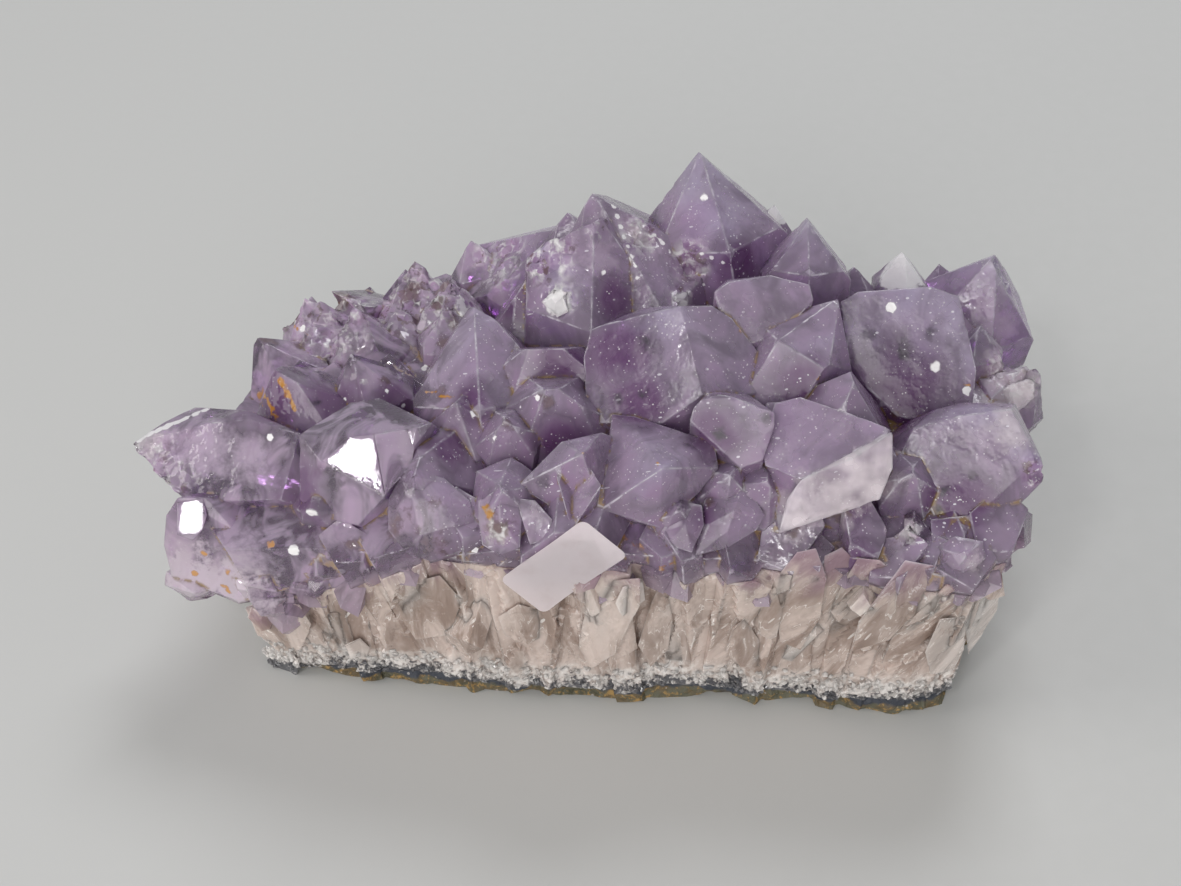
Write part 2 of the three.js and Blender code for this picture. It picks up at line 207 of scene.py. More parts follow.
DUST_DOTS = (
    *marks(1.0, (891, 307), (935, 366)),
    *marks(0.8, (967, 391), (704, 197), (270, 437), (364, 382), (424, 368), (301, 328)),
    *marks(0.5, (734, 340), (387, 392), (404, 406), (345, 398), (521, 406), (537, 398)),
    *marks(0.6, (496, 439), (472, 414), (375, 430), (600, 236), (603, 273), (475, 550)),
    *marks(1.1, (311, 513), (294, 551)),
)

DARK_SPOTS = (
    *marks(2.0, (648, 344), (903, 351)),
    *marks(1.5, (867, 332), (931, 334), (721, 433), (767, 419), (543, 482), (315, 401)),
    *marks(1.2, (618, 399), (644, 395), (696, 374), (689, 447), (971, 477), (946, 492)),
    *marks(1.1, (675, 306), (356, 335), (328, 362), (314, 314), (262, 349), (940, 511)),
    *marks(1.0, (372, 415), (395, 422), (342, 483), (180, 494), (265, 446), (338, 549)),
    *marks(0.8, (342, 571), (476, 530), (903, 452), (418, 303), (434, 299), (389, 328)),
)

STAINS = (
    *needle(0.75, (262, 390), (276, 418)),
    *needle(0.75, (280, 380), (296, 410)),
    *needle(0.6, (258, 394), (262, 404)),
    *needle(0.6, (428, 392), (452, 398)),
    *needle(0.5, (222, 584), (232, 596)),
    *needle(0.5, (292, 324), (306, 334)),
    *marks(1.2, (488, 512), (505, 539), (373, 584), (640, 546)),
    *marks(0.8, (204, 554), (228, 571), (196, 573), (270, 545), (625, 536), (662, 570)),
    *marks(0.6, (958, 396), (819, 378), (779, 371), (739, 332), (702, 399), (689, 429)),
    *marks(0.6, (583, 452), (658, 463), (950, 544), (672, 563), (967, 385)),
)

FRACTURES = (
    *marks(9.0, (290, 335), (340, 320), (405, 300), (440, 290)),
    *marks(6.0, (500, 262), (545, 250), (1020, 370)),
    *marks(4.0, (640, 235), (690, 262), (150, 455), (172, 480), (1002, 276)),
    *marks(3.0, (683, 301), (560, 299), (905, 530), (600, 225), (500, 530), (1038, 470)),
)

VEILS = (
    *marks(9.0, (205, 445), (235, 560), (980, 310)),
    *marks(7.0, (160, 442), (250, 455), (300, 350), (600, 260), (1000, 330)),
    *marks(5.0, (340, 320), (330, 530), (430, 520), (610, 480), (985, 440)),
    *marks(4.0, (625, 225), (660, 250), (690, 275)),
)

DEEP_PLACES = (
    *marks(11.0, (895, 395)),
    *marks(8.0, (270, 400), (620, 350), (900, 410)),
    *marks(7.0, (330, 400), (640, 400), (960, 505), (300, 490), (570, 360)),
    *marks(6.0, (560, 440), (715, 430), (740, 260), (520, 300), (870, 490), (440, 530)),
    *marks(5.0, (400, 400), (860, 560), (700, 520), (450, 450), (800, 380), (612, 300)),
    *marks(4.5, (425, 525), (850, 505), (470, 400)),
)

PALE_PLACES = (
    *marks(8.0, (240, 590), (190, 575)),
    *marks(6.0, (1015, 375), (825, 495), (870, 470)),
    *marks(5.0, (1000, 395), (800, 512), (1020, 420)),
    *marks(2.5, (150, 440), (905, 530), (500, 530), (970, 560), (640, 235)),
)

WHITE_CHIPS_AND_HIGHLIGHTS = (
    *marks(4.5, (903, 270)),
    *marks(2.2, (779, 214), (557, 302)),
    *marks(1.6, (683, 300), (145, 432), (136, 450)),
    # these two rows are painted highlights along the left crystal's upper edge and rim
    *needle(0.9, (140, 438), (214, 406), 9),
    *needle(0.8, (135, 455), (160, 480), 5),
    *needle(0.5, (614, 206), (642, 288), 9),
    *needle(0.5, (622, 202), (704, 284), 11),
    *needle(0.45, (640, 232), (722, 262), 9),
)

MIRRORS = marks(3.6, (192, 519), (356, 457), (395, 455))

BROWN_PLACES = (
    *marks(4.0, (430, 515), (445, 540)),
    *marks(3.0, (292, 318), (500, 525), (404, 525), (340, 300), (410, 290)),
    *marks(1.7, (268, 341), (418, 288), (435, 302), (455, 322), (300, 345)),
    *marks(1.4, (442, 342), (548, 400), (505, 425), (385, 380), (440, 395), (350, 545)),
    *marks(1.2, (895, 415), (848, 512), (838, 518), (942, 512), (792, 530), (712, 505)),
)

CROWN_MARKS = {
    Field.DOT: DUST_DOTS,
    Field.INCLUSION: DARK_SPOTS,
    Field.STAIN: STAINS,
    Field.FRACTURE: FRACTURES,
    Field.PALE: PALE_PLACES,
    Field.WHITE: WHITE_CHIPS_AND_HIGHLIGHTS,
    Field.MIRROR: MIRRORS,
    Field.VEIL: VEILS,
    Field.DEEP: DEEP_PLACES,
    Field.BROWN: BROWN_PLACES,
}

GLINT_LAMP = (-0.204, -0.395, 0.479)  # where the lamp stands that the left facets mirror


def tree_of(places: Sequence[Sequence[float]]) -> KDTree:
    """Returns a search tree of places, numbered in their order."""
    tree = KDTree(max(1, len(places)))
    for index, place in enumerate(places):
        tree.insert(place, index)
    tree.balance()
    return tree


class Relief:
    """Repeatable noise for shaping meshes."""

    TILT: float = 0.45  # usual slope of a broken facet
    LEDGE: float = 0.7  # height of its ledges, up and down
    MOST: float = 1.2  # what no height goes beyond

    @staticmethod
    def smooth(points: np.ndarray, size: float, seed: float) -> np.ndarray:
        """Reads soft noise.

        Args:
            points: places in metres, one to a row.
            size: the noise's lumps, in metres.
            seed: tells one noise from another.

        Returns:
            One value from -1 to 1 for each place.
        """
        shift = Vector((seed, -seed, 2 * seed))
        return np.array([noise.noise(Vector(p) / size + shift) for p in points])

    @staticmethod
    def facets(points: np.ndarray, size: float, seed: int) -> np.ndarray:
        """Reads a surface of tilted facets with ledges between them, as broken quartz has.

        Args:
            points: places in metres, one to a row.
            size: mean width of a facet, in metres.
            seed: of the random numbers.

        Returns:
            Heights of about -1 to 1.
        """
        draws = np.random.default_rng(seed)
        low, high = points.min(0), points.max(0)
        count = int(np.prod((high - low) / size + 1)) + 1
        seeds = draws.uniform(low, high, (count, 3))
        tilts = draws.normal(0, Relief.TILT, (count, 3)) / size
        steps = draws.uniform(-Relief.LEDGE, Relief.LEDGE, count)
        tree = tree_of(seeds)
        nearest = np.array([tree.find(p)[1] for p in points])
        slopes = np.einsum("ij,ij->i", points - seeds[nearest], tilts[nearest])
        return np.clip(steps[nearest] + slopes, -Relief.MOST, Relief.MOST)


def near(points: np.ndarray, places: Sequence[Vector], radii: Sequence[float]) -> np.ndarray:
    """Measures how deep points lie in balls around places.

    Args:
        points: places in metres, one to a row.
        places: the balls' centres.
        radii: their radii in metres.

    Returns:
        For each point 1 at a centre, 0 on the nearest ball and -1 a radius or more outside.
    """
    depth = np.full(len(points), -1.0)
    for place, radius in zip(places, radii, strict=True):
        away = np.linalg.norm(points - np.array(place), axis=1)
        depth = np.maximum(depth, 1 - away / radius)
    return depth


def distance_to(points: np.ndarray, samples: list[Vector], reach: float) -> np.ndarray:
    """Measures how far points lie from a cloud of samples.

    Args:
        points: places in metres, one to a row.
        samples: the cloud.
        reach: the distance that stands for anything further.

    Returns:
        One distance in metres for each point.
    """
    tree = tree_of(samples)
    found = [tree.find(p)[2] for p in points]
    return np.minimum([reach if d is None else d for d in found], reach)


@dataclass
class Finder:
    """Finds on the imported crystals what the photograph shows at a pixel."""

    camera: PhotoCamera
    nodes: tuple[str, ...] = ("amethyst_crystals", "milky_quartz_base")
    tree: BVHTree = field(init=False)

    def __post_init__(self) -> None:
        """Builds the search tree."""
        places: list[Vector] = []
        faces: list[tuple[int, ...]] = []
        for node in self.nodes:
            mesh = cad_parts[node].data
            start = len(places)
            places += [v.co.copy() for v in mesh.vertices]
            faces += [tuple(start + k for k in p.vertices) for p in mesh.polygons]
        self.tree = BVHTree.FromPolygons(places, faces)

    def place(self, pixel: Pixel) -> Vector:
        """Returns the point of the block at a pixel, or nearest to the pixel's ray just beside it."""
        eye, ray = self.camera.eye(), self.camera.ray(pixel)
        hit = self.tree.ray_cast(eye, ray)[0]
        return hit or self.tree.find_nearest(eye + ray * self.camera.distance)[0]

    def depth(self, points: np.ndarray, group: Sequence[Mark]) -> np.ndarray:
        """Measures how deep points lie in a group of marks, as near() does."""
        places = [self.place(mark.pixel) for mark in group]
        return near(points, places, [mark.radius * MM for mark in group])


@dataclass(frozen=True)
class Grown:
    """A crystal, chip or facet that stands where the photograph shows it, rooted in the block."""

    anchor: Pixel
    lift: float  # mm that the anchor stands out of the block, towards the camera
    corners: tuple[tuple[float, float, float], ...]  # pixels across and down, and mm nearer
    tone: float = 0.0  # from -1, clear, to 1, white
    root: float = 5.0  # mm that it goes in
    mirrors: bool = False  # turned to mirror the glint lamp into the camera
    heading: float | None = None  # degrees that an upright face is turned, 0 for the front
    lean: float = 0.03  # how far an upright face looks down
    taper: float = 0.3  # how much narrower its root is

    def places(self, finder: Finder) -> list[Vector]:
        """Returns where its outer corners are."""
        eye = finder.camera.eye()
        anchor = finder.place(self.anchor) - finder.camera.ray(self.anchor) * self.lift * MM
        towards = face = (eye - anchor).normalized()
        if self.mirrors:
            face = (towards + (Vector(GLINT_LAMP) - anchor).normalized()).normalized()
        if self.heading is not None:
            face = Matrix.Rotation(math.radians(self.heading), 3, "Z") @ Vector((0, -1, -self.lean))
        corners = []
        for across, down, nearer in self.corners:
            ray = finder.camera.ray((across, down))
            plane = anchor + towards * nearer * MM
            corners.append(eye + ray * ((plane - eye).dot(face) / ray.dot(face)))
        return corners

    def add(self, mesh: BMesh, finder: Finder) -> None:
        """Adds it to a mesh that has a layer for the shade."""
        layer = mesh.verts.layers.float[Field.SHADE.value]
        corners = self.places(finder)
        middle = sum(corners, Vector()) / len(corners)
        inward = finder.camera.ray(self.anchor) * self.root * MM
        hull = bmesh.new()
        for corner in corners:
            hull.verts.new(corner)
            hull.verts.new(corner.lerp(middle, self.taper) + inward)
        bmesh.ops.convex_hull(hull, input=hull.verts)
        bmesh.ops.delete(hull, geom=[v for v in hull.verts if not v.link_faces], context="VERTS")
        bmesh.ops.recalc_face_normals(hull, faces=hull.faces)
        copies = {}
        for vertex in hull.verts:
            copies[vertex] = mesh.verts.new(vertex.co)
            copies[vertex][layer] = self.tone
        for face in hull.faces:
            mesh.faces.new([copies[v] for v in face.verts])
        hull.free()


GROWN_PIECES = (
    # the large broken crystal on the right, its bluish top and its white broken side
    Grown((835, 471), 1.4, (
        (893, 430, 0), (860, 455, 0.1), (800, 480, 0.2), (765, 466, -1.3), (761, 440, -2.6),
        (775, 403, -4.0), (800, 397, -3.7), (846, 412, -1.9),
    ), tone=0.08),
    Grown((835, 471), 1.45, (
        (893, 430, 0), (860, 455, 0.1), (800, 480, 0.2), (786, 500, -0.9), (778, 534, -2.4),
        (806, 520, -2.0), (845, 508, -2.4), (880, 500, -3.0), (893, 468, -2.2),
    ), tone=0.8),
    # the clear shard and the lump under the last crystal on the right
    Grown((915, 530), 1.6, (
        (903, 515, -0.5), (914, 510, -0.8), (932, 533, -0.6), (922, 542, 1.0), (903, 553, 1.2),
        (902, 535, 0.4), (916, 528, 1.0),
    ), tone=-1.0, root=4.0),
    Grown((960, 556), 1.8, (
        (935, 547, -1.2), (955, 536, -1.0), (983, 541, -1.4), (988, 558, -2.0), (966, 577, -2.0),
        (946, 572, -1.6), (936, 558, -1.2), (950, 552, 0.3), (968, 553, 0.3), (960, 566, 0),
    ), tone=0.2),
    # the facets that shine on the left
    Grown((192, 519), 1.6, (
        (177, 503, 0), (190, 500, 0), (203, 498, 0), (207, 515, 0), (203, 530, 0), (193, 541, 0),
        (177, 535, 0),
    ), root=3.5, mirrors=True),
    Grown((355, 460), 0.8, (
        (322, 461, 0), (350, 437, 0), (374, 434, 0), (385, 496, 0),
    ), root=3.0, mirrors=True),
    Grown((398, 452), 1.0, (
        (374, 434, 0), (418, 428, -1.2), (412, 464, -0.2), (385, 496, 0.6),
    ), tone=0.3, root=3.0),
    # the white chip on the crystal behind
    Grown((556, 303), 0.8, (
        (541, 302, 0), (553, 288, 0), (567, 292, 0), (570, 312, 0), (557, 318, 0),
    ), tone=0.95, root=2.0),
    # the sparkling pieces left of the sticker
    Grown((530, 520), 1.6, (
        (516, 498, 0), (535, 500, 0), (553, 520, 1.6), (546, 540, 1.6), (530, 545, 0.4), (522, 520, 0.6),
    ), tone=0.45, root=4.0),
    Grown((500, 524), 1.2, (
        (478, 500, -1.5), (500, 488, 1.0), (516, 492, 0), (522, 520, -0.2), (520, 548, -0.8),
        (500, 556, -1.5), (482, 545, -2.2), (478, 520, -1.5), (500, 515, 0.8),
    ), tone=0.3, root=4.0),
    # the smooth dome further left
    Grown((430, 515), 2.8, (
        (388, 500, -2.4), (398, 480, -1.3), (416, 470, 0.3), (445, 478, -0.6), (470, 500, -0.2),
        (476, 522, -0.2), (462, 552, -1.2), (430, 561, -2.4), (405, 553, -1.8), (388, 530, -2.5),
        (412, 498, 0.5), (442, 497, 0.6), (456, 525, 0.6), (420, 535, 0.2),
    ), tone=0.05, root=6.0),
    # the two clear lumps right of the sticker
    Grown((685, 528), 1.3, (
        (660, 533, -1.0), (672, 512, -0.8), (688, 502, -0.8), (702, 505, -0.6), (704, 525, -0.4),
        (692, 553, -0.8), (668, 545, -1.0), (685, 525, 0.4),
    ), tone=0.15, root=4.0),
    Grown((730, 515), 1.8, (
        (704, 500, -1.0), (718, 482, -1.0), (745, 482, -1.0), (765, 515, -1.2), (757, 530, -1.0),
        (728, 548, -0.8), (695, 556, -1.0), (708, 525, 0), (735, 510, 0.4), (728, 530, 0.3),
    ), tone=0.1, root=5.0),
    # the broken step at the right end
    Grown((1012, 392), 0.8, (
        (990, 400, -0.6), (1008, 385, 0), (1034, 378, -0.6), (1036, 398, -0.8), (1018, 412, -0.6),
    ), tone=0.75, root=4.0),
)

WALL_PIECES = (
    Grown((280, 628), 0.5, (
        (245, 607, 0), (268, 600, 0.2), (300, 605, 0.2), (312, 625, 0), (300, 650, 0), (278, 652, 0.2),
        (258, 635, 0.2),
    ), tone=0.4, heading=-12),
    Grown((282, 660), 0.5, (
        (262, 650, 0), (285, 645, 0.2), (300, 662, 0.2), (296, 678, 0), (275, 668, 0.2),
    ), tone=0.45, heading=-25),
    Grown((358, 648), 0.6, (
        (343, 646, 0), (360, 638, 0.1), (371, 648, 0.2), (366, 659, 0), (350, 659, 0.1),
    ), tone=0.6, root=2.0, heading=5),
    Grown((430, 600), 0.4, (
        (400, 585, 0), (440, 575, 0.3), (462, 600, 0), (450, 635, 0.2), (415, 640, 0.3), (398, 615, 0),
    ), tone=0.25, heading=-6),
    Grown((525, 622), 0.5, (
        (498, 617, 0), (518, 604, 0.3), (540, 614, 0.1), (556, 614, 0.2), (548, 633, 0), (528, 645, 0.2),
        (504, 636, 0.2),
    ), tone=0.2, root=2.5, heading=8),
    Grown((612, 625), 0.7, (
        (586, 604, 0), (612, 580, 0), (640, 578, 0.4), (640, 605, 0.4), (615, 655, 0), (592, 668, 0.2),
        (578, 660, 0), (580, 630, 0.3),
    ), tone=0.4, heading=-14),
    Grown((630, 600), 1.3, (
        (616, 603, 0), (624, 586, 0.2), (643, 582, 0), (646, 600, 0.2), (622, 617, 0),
    ), tone=0.7, root=3.0, heading=20),
    Grown((658, 625), 0.6, (
        (638, 645, 0), (652, 600, 0.3), (664, 576, 0), (673, 620, 0.2), (669, 650, 0), (650, 668, 0.2),
    ), tone=0.35, heading=14),
    Grown((744, 645), 0.7, (
        (725, 652, 0), (731, 629, 0.3), (745, 618, 0), (760, 640, 0.2), (762, 666, 0), (740, 668, 0.3),
    ), tone=0.35, root=3.0, heading=10),
    Grown((768, 612), 0.6, (
        (756, 604, 0), (775, 586, 0.2), (783, 610, 0), (776, 642, 0.2), (760, 636, 0.2),
    ), tone=0.15, root=3.0, heading=-10),
    Grown((800, 590), 0.6, (
        (774, 606, 0), (781, 572, 0.3), (797, 552, 0), (816, 548, 0), (827, 575, 0.4), (820, 620, 0.2),
        (800, 650, 0), (780, 642, 0.2),
    ), tone=0.3, heading=-8),
    Grown((838, 584), 0.4, (
        (824, 556, 0), (842, 547, 0.2), (857, 562, 0.3), (850, 590, 0.2), (825, 625, 0), (819, 600, 0),
    ), tone=0.15, heading=16),
    Grown((865, 590), 0.4, (
        (858, 558, 0), (880, 560, 0.2), (898, 574, 0), (870, 610, 0.3), (830, 636, 0), (827, 612, 0.2),
    ), tone=0.3, heading=-10),
    Grown((890, 605), 0.5, (
        (905, 560, 0), (936, 566, 0.2), (948, 582, 0), (890, 640, 0.3), (850, 652, 0), (858, 622, 0.2),
    ), tone=0.15, heading=14),
    Grown((925, 625), 0.7, (
        (948, 584, 0), (967, 590, 0.2), (965, 602, 0), (930, 618, 0.3), (915, 650, 0), (880, 664, 0.2),
        (890, 640, 0),
    ), tone=0.2, heading=-4),
    Grown((982, 600), 0.6, (
        (960, 582, 0), (985, 562, 0.2), (1002, 560, 0), (997, 610, 0.2), (980, 640, 0), (968, 655, 0),
    ), tone=0.7, heading=36),
    Grown((947, 645), 0.5, (
        (925, 652, 0), (940, 619, 0.3), (965, 616, 0), (965, 650, 0.2), (955, 670, 0), (930, 675, 0),
    ), tone=0.6, root=3.0, heading=26),
)


@dataclass
class FacetMesh:
    """An even mesh of a CAD node, whose sharp edges are worn."""

    node: str
    pitch: float  # metres between points
    wear: float  # metres taken off the sharp edges
    pitch_at: Callable[[Vector], float] | None = None
    smooth: bool = False
    plain_below: float = -0.9  # faces that look down more than this stay coarse
    merge: float = 0.1 * MM
    flat: float = math.radians(0.6)  # edges that bend less are dissolved
    sharpest: float = math.radians(11)
    pale_edge: float = math.radians(34)
    inner: float = math.radians(-10)
    shortest: float = 0.6 * MM
    rims: list[Vector] = field(default_factory=list)
    crevices: list[Vector] = field(default_factory=list)

    def build(self, finder: Finder | None = None, grown: Sequence[Grown] = ()) -> BMesh:
        """Builds the mesh.

        Args:
            finder: finds the places of what is added.
            grown: what is added before the edges are worn.

        Returns:
            A mesh of triangles with a layer for the shade, and with the inner edges marked sharp.
        """
        mesh = bmesh.new()
        mesh.from_mesh(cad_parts[self.node].data)
        mesh.verts.layers.float.new(Field.SHADE.value)
        bmesh.ops.remove_doubles(mesh, verts=mesh.verts, dist=self.merge)
        for piece in grown:
            piece.add(mesh, finder)
        bmesh.ops.dissolve_limit(mesh, angle_limit=self.flat, verts=mesh.verts, edges=mesh.edges)
        self.wear_edges(mesh)
        self.split_edges(mesh)
        faces = list(mesh.faces)
        trios = [self.fill(mesh, face) for face in faces]
        done = [face for face, made in zip(faces, trios, strict=True) if made]
        bmesh.ops.delete(mesh, geom=done, context="FACES_ONLY")
        for corners in (trio for made in trios for trio in made):
            if len(set(corners)) == 3 and mesh.faces.get(corners) is None:
                mesh.faces.new(corners)
        for face in mesh.faces:
            face.smooth = self.smooth
        mesh.normal_update()
        return mesh

    def wear_edges(self, mesh: BMesh) -> None:
        """Rounds the outer edges and notes where the edges are."""
        worn = []
        for edge in mesh.edges:
            edge.smooth = True
            if len(edge.link_faces) != 2:
                continue
            angle = edge.calc_face_angle_signed(0)
            if angle > self.sharpest:
                if angle > self.pale_edge:
                    self.rims += self.along(edge)
                if edge.calc_length() > self.shortest:
                    worn.append(edge)
            elif angle < self.inner:
                self.crevices += self.along(edge)
                edge.smooth = False
        if self.wear:
            bmesh.ops.bevel(
                mesh, geom=worn, offset=self.wear, offset_type="OFFSET", segments=2,
                profile=0.6, affect="EDGES", clamp_overlap=False,
            )

    @staticmethod
    def along(edge: bmesh.types.BMEdge, step: float = 0.3 * MM) -> list[Vector]:
        """Returns places along an edge, a step apart."""
        start, end = (v.co for v in edge.verts)
        count = max(2, math.ceil(edge.calc_length() / step))
        return [start.lerp(end, k / (count - 1)) for k in range(count)]

    def local_pitch(self, place: Vector) -> float:
        """Returns the pitch wanted at a place."""
        return self.pitch_at(place) if self.pitch_at else self.pitch

    def split_edges(self, mesh: BMesh) -> None:
        """Splits every edge into pieces about a pitch long."""
        for edge in list(mesh.edges):
            if all(face.normal.z < self.plain_below for face in edge.link_faces):
                continue
            start, end = edge.verts
            count = round(edge.calc_length() / self.local_pitch((start.co + end.co) / 2))
            for left in range(count, 1, -1):
                _, middle = bmesh.utils.edge_split(edge, start, 1 / left)
                edge = next(e for e in middle.link_edges if e.other_vert(middle) == end)
                start = middle

    def fill(self, mesh: BMesh, face: BMFace) -> list[list[bmesh.types.BMVert]]:
        """Lays even triangles over a face.

        Args:
            mesh: the mesh, which gets the points inside the face.
            face: the face.

        Returns:
            The triangles' corners, or nothing where the face stays as it is.
        """
        normal = face.normal
        ring = list(face.verts)
        if len(ring) == 3 or normal.length < 0.5:
            return []
        pitch = self.local_pitch(face.calc_center_median())
        across = normal.orthogonal().normalized()
        along = normal.cross(across)
        origin = ring[0].co.copy()
        flat = [Vector(((v.co - origin) @ across, (v.co - origin) @ along)) for v in ring]
        roomy = face.calc_area() > pitch * pitch and normal.z > self.plain_below
        inner = lattice_inside(flat, pitch) if roomy else []
        inside_only, tolerance = 1, 1e-9
        corners, _, faces, sources, _, _ = delaunay_2d_cdt(
            flat + inner, [], [list(range(len(flat)))], inside_only, tolerance
        )
        points = []
        for place, source in zip(corners, sources, strict=True):
            if source and source[0] < len(ring):
                points.append(ring[source[0]])
            else:
                points.append(mesh.verts.new(origin + across * place.x + along * place.y, ring[0]))
        return [[points[k] for k in trio] for trio in faces]


def lattice_inside(ring: list[Vector], pitch: float) -> list[Vector]:
    """Lays a staggered lattice of points in a polygon, clear of its sides.

    Args:
        ring: the polygon's corners.
        pitch: the distance between points.

    Returns:
        The points inside.
    """
    row, clear, tiny = 0.87, 0.45, 1e-18  # shares of the pitch, and no length at all
    corners = np.array(ring)
    low, high = corners.min(0), corners.max(0)
    rows = np.arange(low[1] + pitch / 2, high[1], pitch * row)
    columns = np.arange(low[0], high[0], pitch)
    if not len(rows) or not len(columns):
        return []
    x, y = np.meshgrid(columns, rows)
    x[1::2] += pitch / 2
    points = np.stack([x.ravel(), y.ravel()], 1)
    starts, ends = corners, np.roll(corners, -1, 0)
    sides = ends - starts
    away = points[:, None] - starts
    lengths = np.maximum((sides**2).sum(1), tiny)
    share = np.clip((away * sides).sum(2) / lengths, 0, 1)
    gap = np.linalg.norm(away - share[..., None] * sides, axis=2).min(1)
    above = (starts[:, 1] > points[:, None, 1]) != (ends[:, 1] > points[:, None, 1])
    rise = np.where(sides[:, 1] == 0, tiny, sides[:, 1])
    cross = starts[:, 0] + sides[:, 0] * (points[:, None, 1] - starts[:, 1]) / rise
    inside = (above & (points[:, None, 0] < cross)).sum(1) % 2 == 1
    return [Vector(p) for p in points[inside & (gap > clear * pitch)]]


def purple_floor(points: np.ndarray) -> np.ndarray:
    """Gives the height of the boundary between the milky and the purple quartz.

    Args:
        points: places in metres, one to a row.

    Returns:
        One height in metres for each place.
    """
    start, length, under = 18, 38, 2  # mm, the first two towards the left end
    left = np.clip((-points[:, 0] / MM - start) / length, 0, 1)
    fall = left * left * (3 - 2 * left)
    top = WALL_BOX[1].z - under * MM
    return top - (top - CROWN_BOX[0].z) * fall


def fan_rate(x: float | np.ndarray) -> float | np.ndarray:
    """Returns how fast the columns lean outward along the block, per metre."""
    least, more, start, length = 4, 14, -20, 60  # the last two in mm
    return least + more * np.clip((x / MM - start) / length, 0, 1)


def fanned(points: np.ndarray) -> np.ndarray:
    """Moves places back along their leaning columns to the foot."""
    out = points.copy()
    out[:, 0] = points[:, 0] / (1 + fan_rate(points[:, 0]) * points[:, 2])
    return out


class Wiring:
    """Adds and joins the nodes of one material."""

    def __init__(self, name: str) -> None:
        """Makes an empty material."""
        self.material = bpy.data.materials.new(name)
        self.material.use_nodes = True
        self.tree = self.material.node_tree
        self.tree.nodes.clear()
        self.out = self.tree.nodes.new("ShaderNodeOutputMaterial")
        self.place = self.node("ShaderNodeTexCoord").outputs["Object"]

    def node(
        self, kind: str, inputs: dict[str | int, object] | None = None, **settings: object
    ) -> bpy.types.Node:
        """Adds a node.

        Args:
            kind: its type.
            inputs: values or sockets for its inputs.
            settings: its own properties.

        Returns:
            The node.
        """
        made = self.tree.nodes.new(kind)
        for name, value in settings.items():
            setattr(made, name, value)
        for name, value in (inputs or {}).items():
            self.feed(made.inputs[name], value)
        return made

    def feed(self, socket: Socket, value: object) -> None:
        """Sets a socket to a value, or joins it to another socket."""
        if isinstance(value, Socket):
            self.tree.links.new(value, socket)
        elif isinstance(value, tuple) and len(value) == 3 and socket.type == "RGBA":
            socket.default_value = (*value, 1)
        else:
            socket.default_value = value

    def field(self, name: Field) -> Socket:
        """Returns a value that the mesh carries."""
        return self.node("ShaderNodeAttribute", attribute_name=name.value).outputs["Fac"]

    def noise(
        self, size: float, detail: float = 3, roughness: float = 0.55,
        place: Socket | None = None, warp: float = 0.0,
    ) -> Socket:
        """Returns soft noise whose lumps have a size in metres."""
        inputs = {
            "Vector": place or self.place, "Scale": 1 / size, "Detail": detail,
            "Roughness": roughness, "Distortion": warp,
        }
        return self.node("ShaderNodeTexNoise", inputs).outputs["Fac"]

    def stretched(
        self, tall: float, turn: Turn = (0, 0, 0), place: Socket | None = None, kind: str = "POINT"
    ) -> Socket:
        """Returns the place with its third axis scaled, and then turned, for long marks."""
        inputs = {"Vector": place or self.place, "Scale": (1, 1, tall), "Rotation": turn}
        return self.node("ShaderNodeMapping", inputs, vector_type=kind).outputs["Vector"]

    def math(self, what: str, a: object, b: object = 0.0, clamp: bool = False) -> Socket:
        """Returns the result of a sum."""
        return self.node("ShaderNodeMath", {0: a, 1: b}, operation=what, use_clamp=clamp).outputs[0]

    def times(self, a: object, b: object) -> Socket:
        """Returns one value times another."""
        return self.math("MULTIPLY", a, b)

    def ragged(self, value: object, pattern: object, reach: float) -> Socket:
        """Returns a value moved by a pattern, so that its border gets ragged."""
        return self.math("ADD", value, self.times(pattern, reach))

    def spread(
        self, value: object, low: float, high: float, to_low: float = 0.0, to_high: float = 1.0
    ) -> Socket:
        """Returns a value stretched from one range to another, with soft ends."""
        inputs = {
            "Value": value, "From Min": low, "From Max": high, "To Min": to_low, "To Max": to_high,
        }
        return self.node("ShaderNodeMapRange", inputs, interpolation_type="SMOOTHSTEP").outputs["Result"]

    def centred(self, value: object) -> Socket:
        """Returns noise of 0 to 1 shifted to lie around 0."""
        return self.math("SUBTRACT", value, 0.5)

    def between(self, share: object, a: object, b: object) -> Socket:
        """Returns a value between two values."""
        made = self.node("ShaderNodeMix", {"Factor": share}, data_type="FLOAT")
        self.feed(made.inputs[2], a)
        self.feed(made.inputs[3], b)
        return made.outputs[0]

    def blend(self, share: object, a: object, b: object) -> Socket:
        """Returns a colour between two colours."""
        made = self.node("ShaderNodeMix", data_type="RGBA")
        self.feed(made.inputs["Factor"], share)
        self.feed(made.inputs[6], a)
        self.feed(made.inputs[7], b)
        return made.outputs[2]

    def hairs(self, size: float, share: float, turn: Turn) -> Socket:
        """Returns 1 in specks that are six times as long as they are wide, all turned one way."""
        return self.speckle(size, share, self.stretched(6, turn, kind="TEXTURE"))

    def speckle(self, size: float, share: float, place: Socket | None = None) -> Socket:
        """Returns 1 in small round specks of uneven size, and 0 between them."""
        largest = 0.27  # share of a cell
        place = place or self.stretched(1, (0.4, 0.7, 0.3))
        cells = self.node("ShaderNodeTexVoronoi", {"Vector": place, "Scale": 1 / size})
        chance = self.node("ShaderNodeSeparateColor", {"Color": cells.outputs["Color"]}).outputs[0]
        reach = self.spread(chance, 1 - share, 1, 0, largest)
        return self.math("GREATER_THAN", reach, cells.outputs["Distance"])

    def facing_up(self) -> Socket:
        """Returns how far the surface looks up."""
        normal = self.node("ShaderNodeNewGeometry").outputs["True Normal"]
        return self.node("ShaderNodeSeparateXYZ", {"Vector": normal}).outputs["Z"]

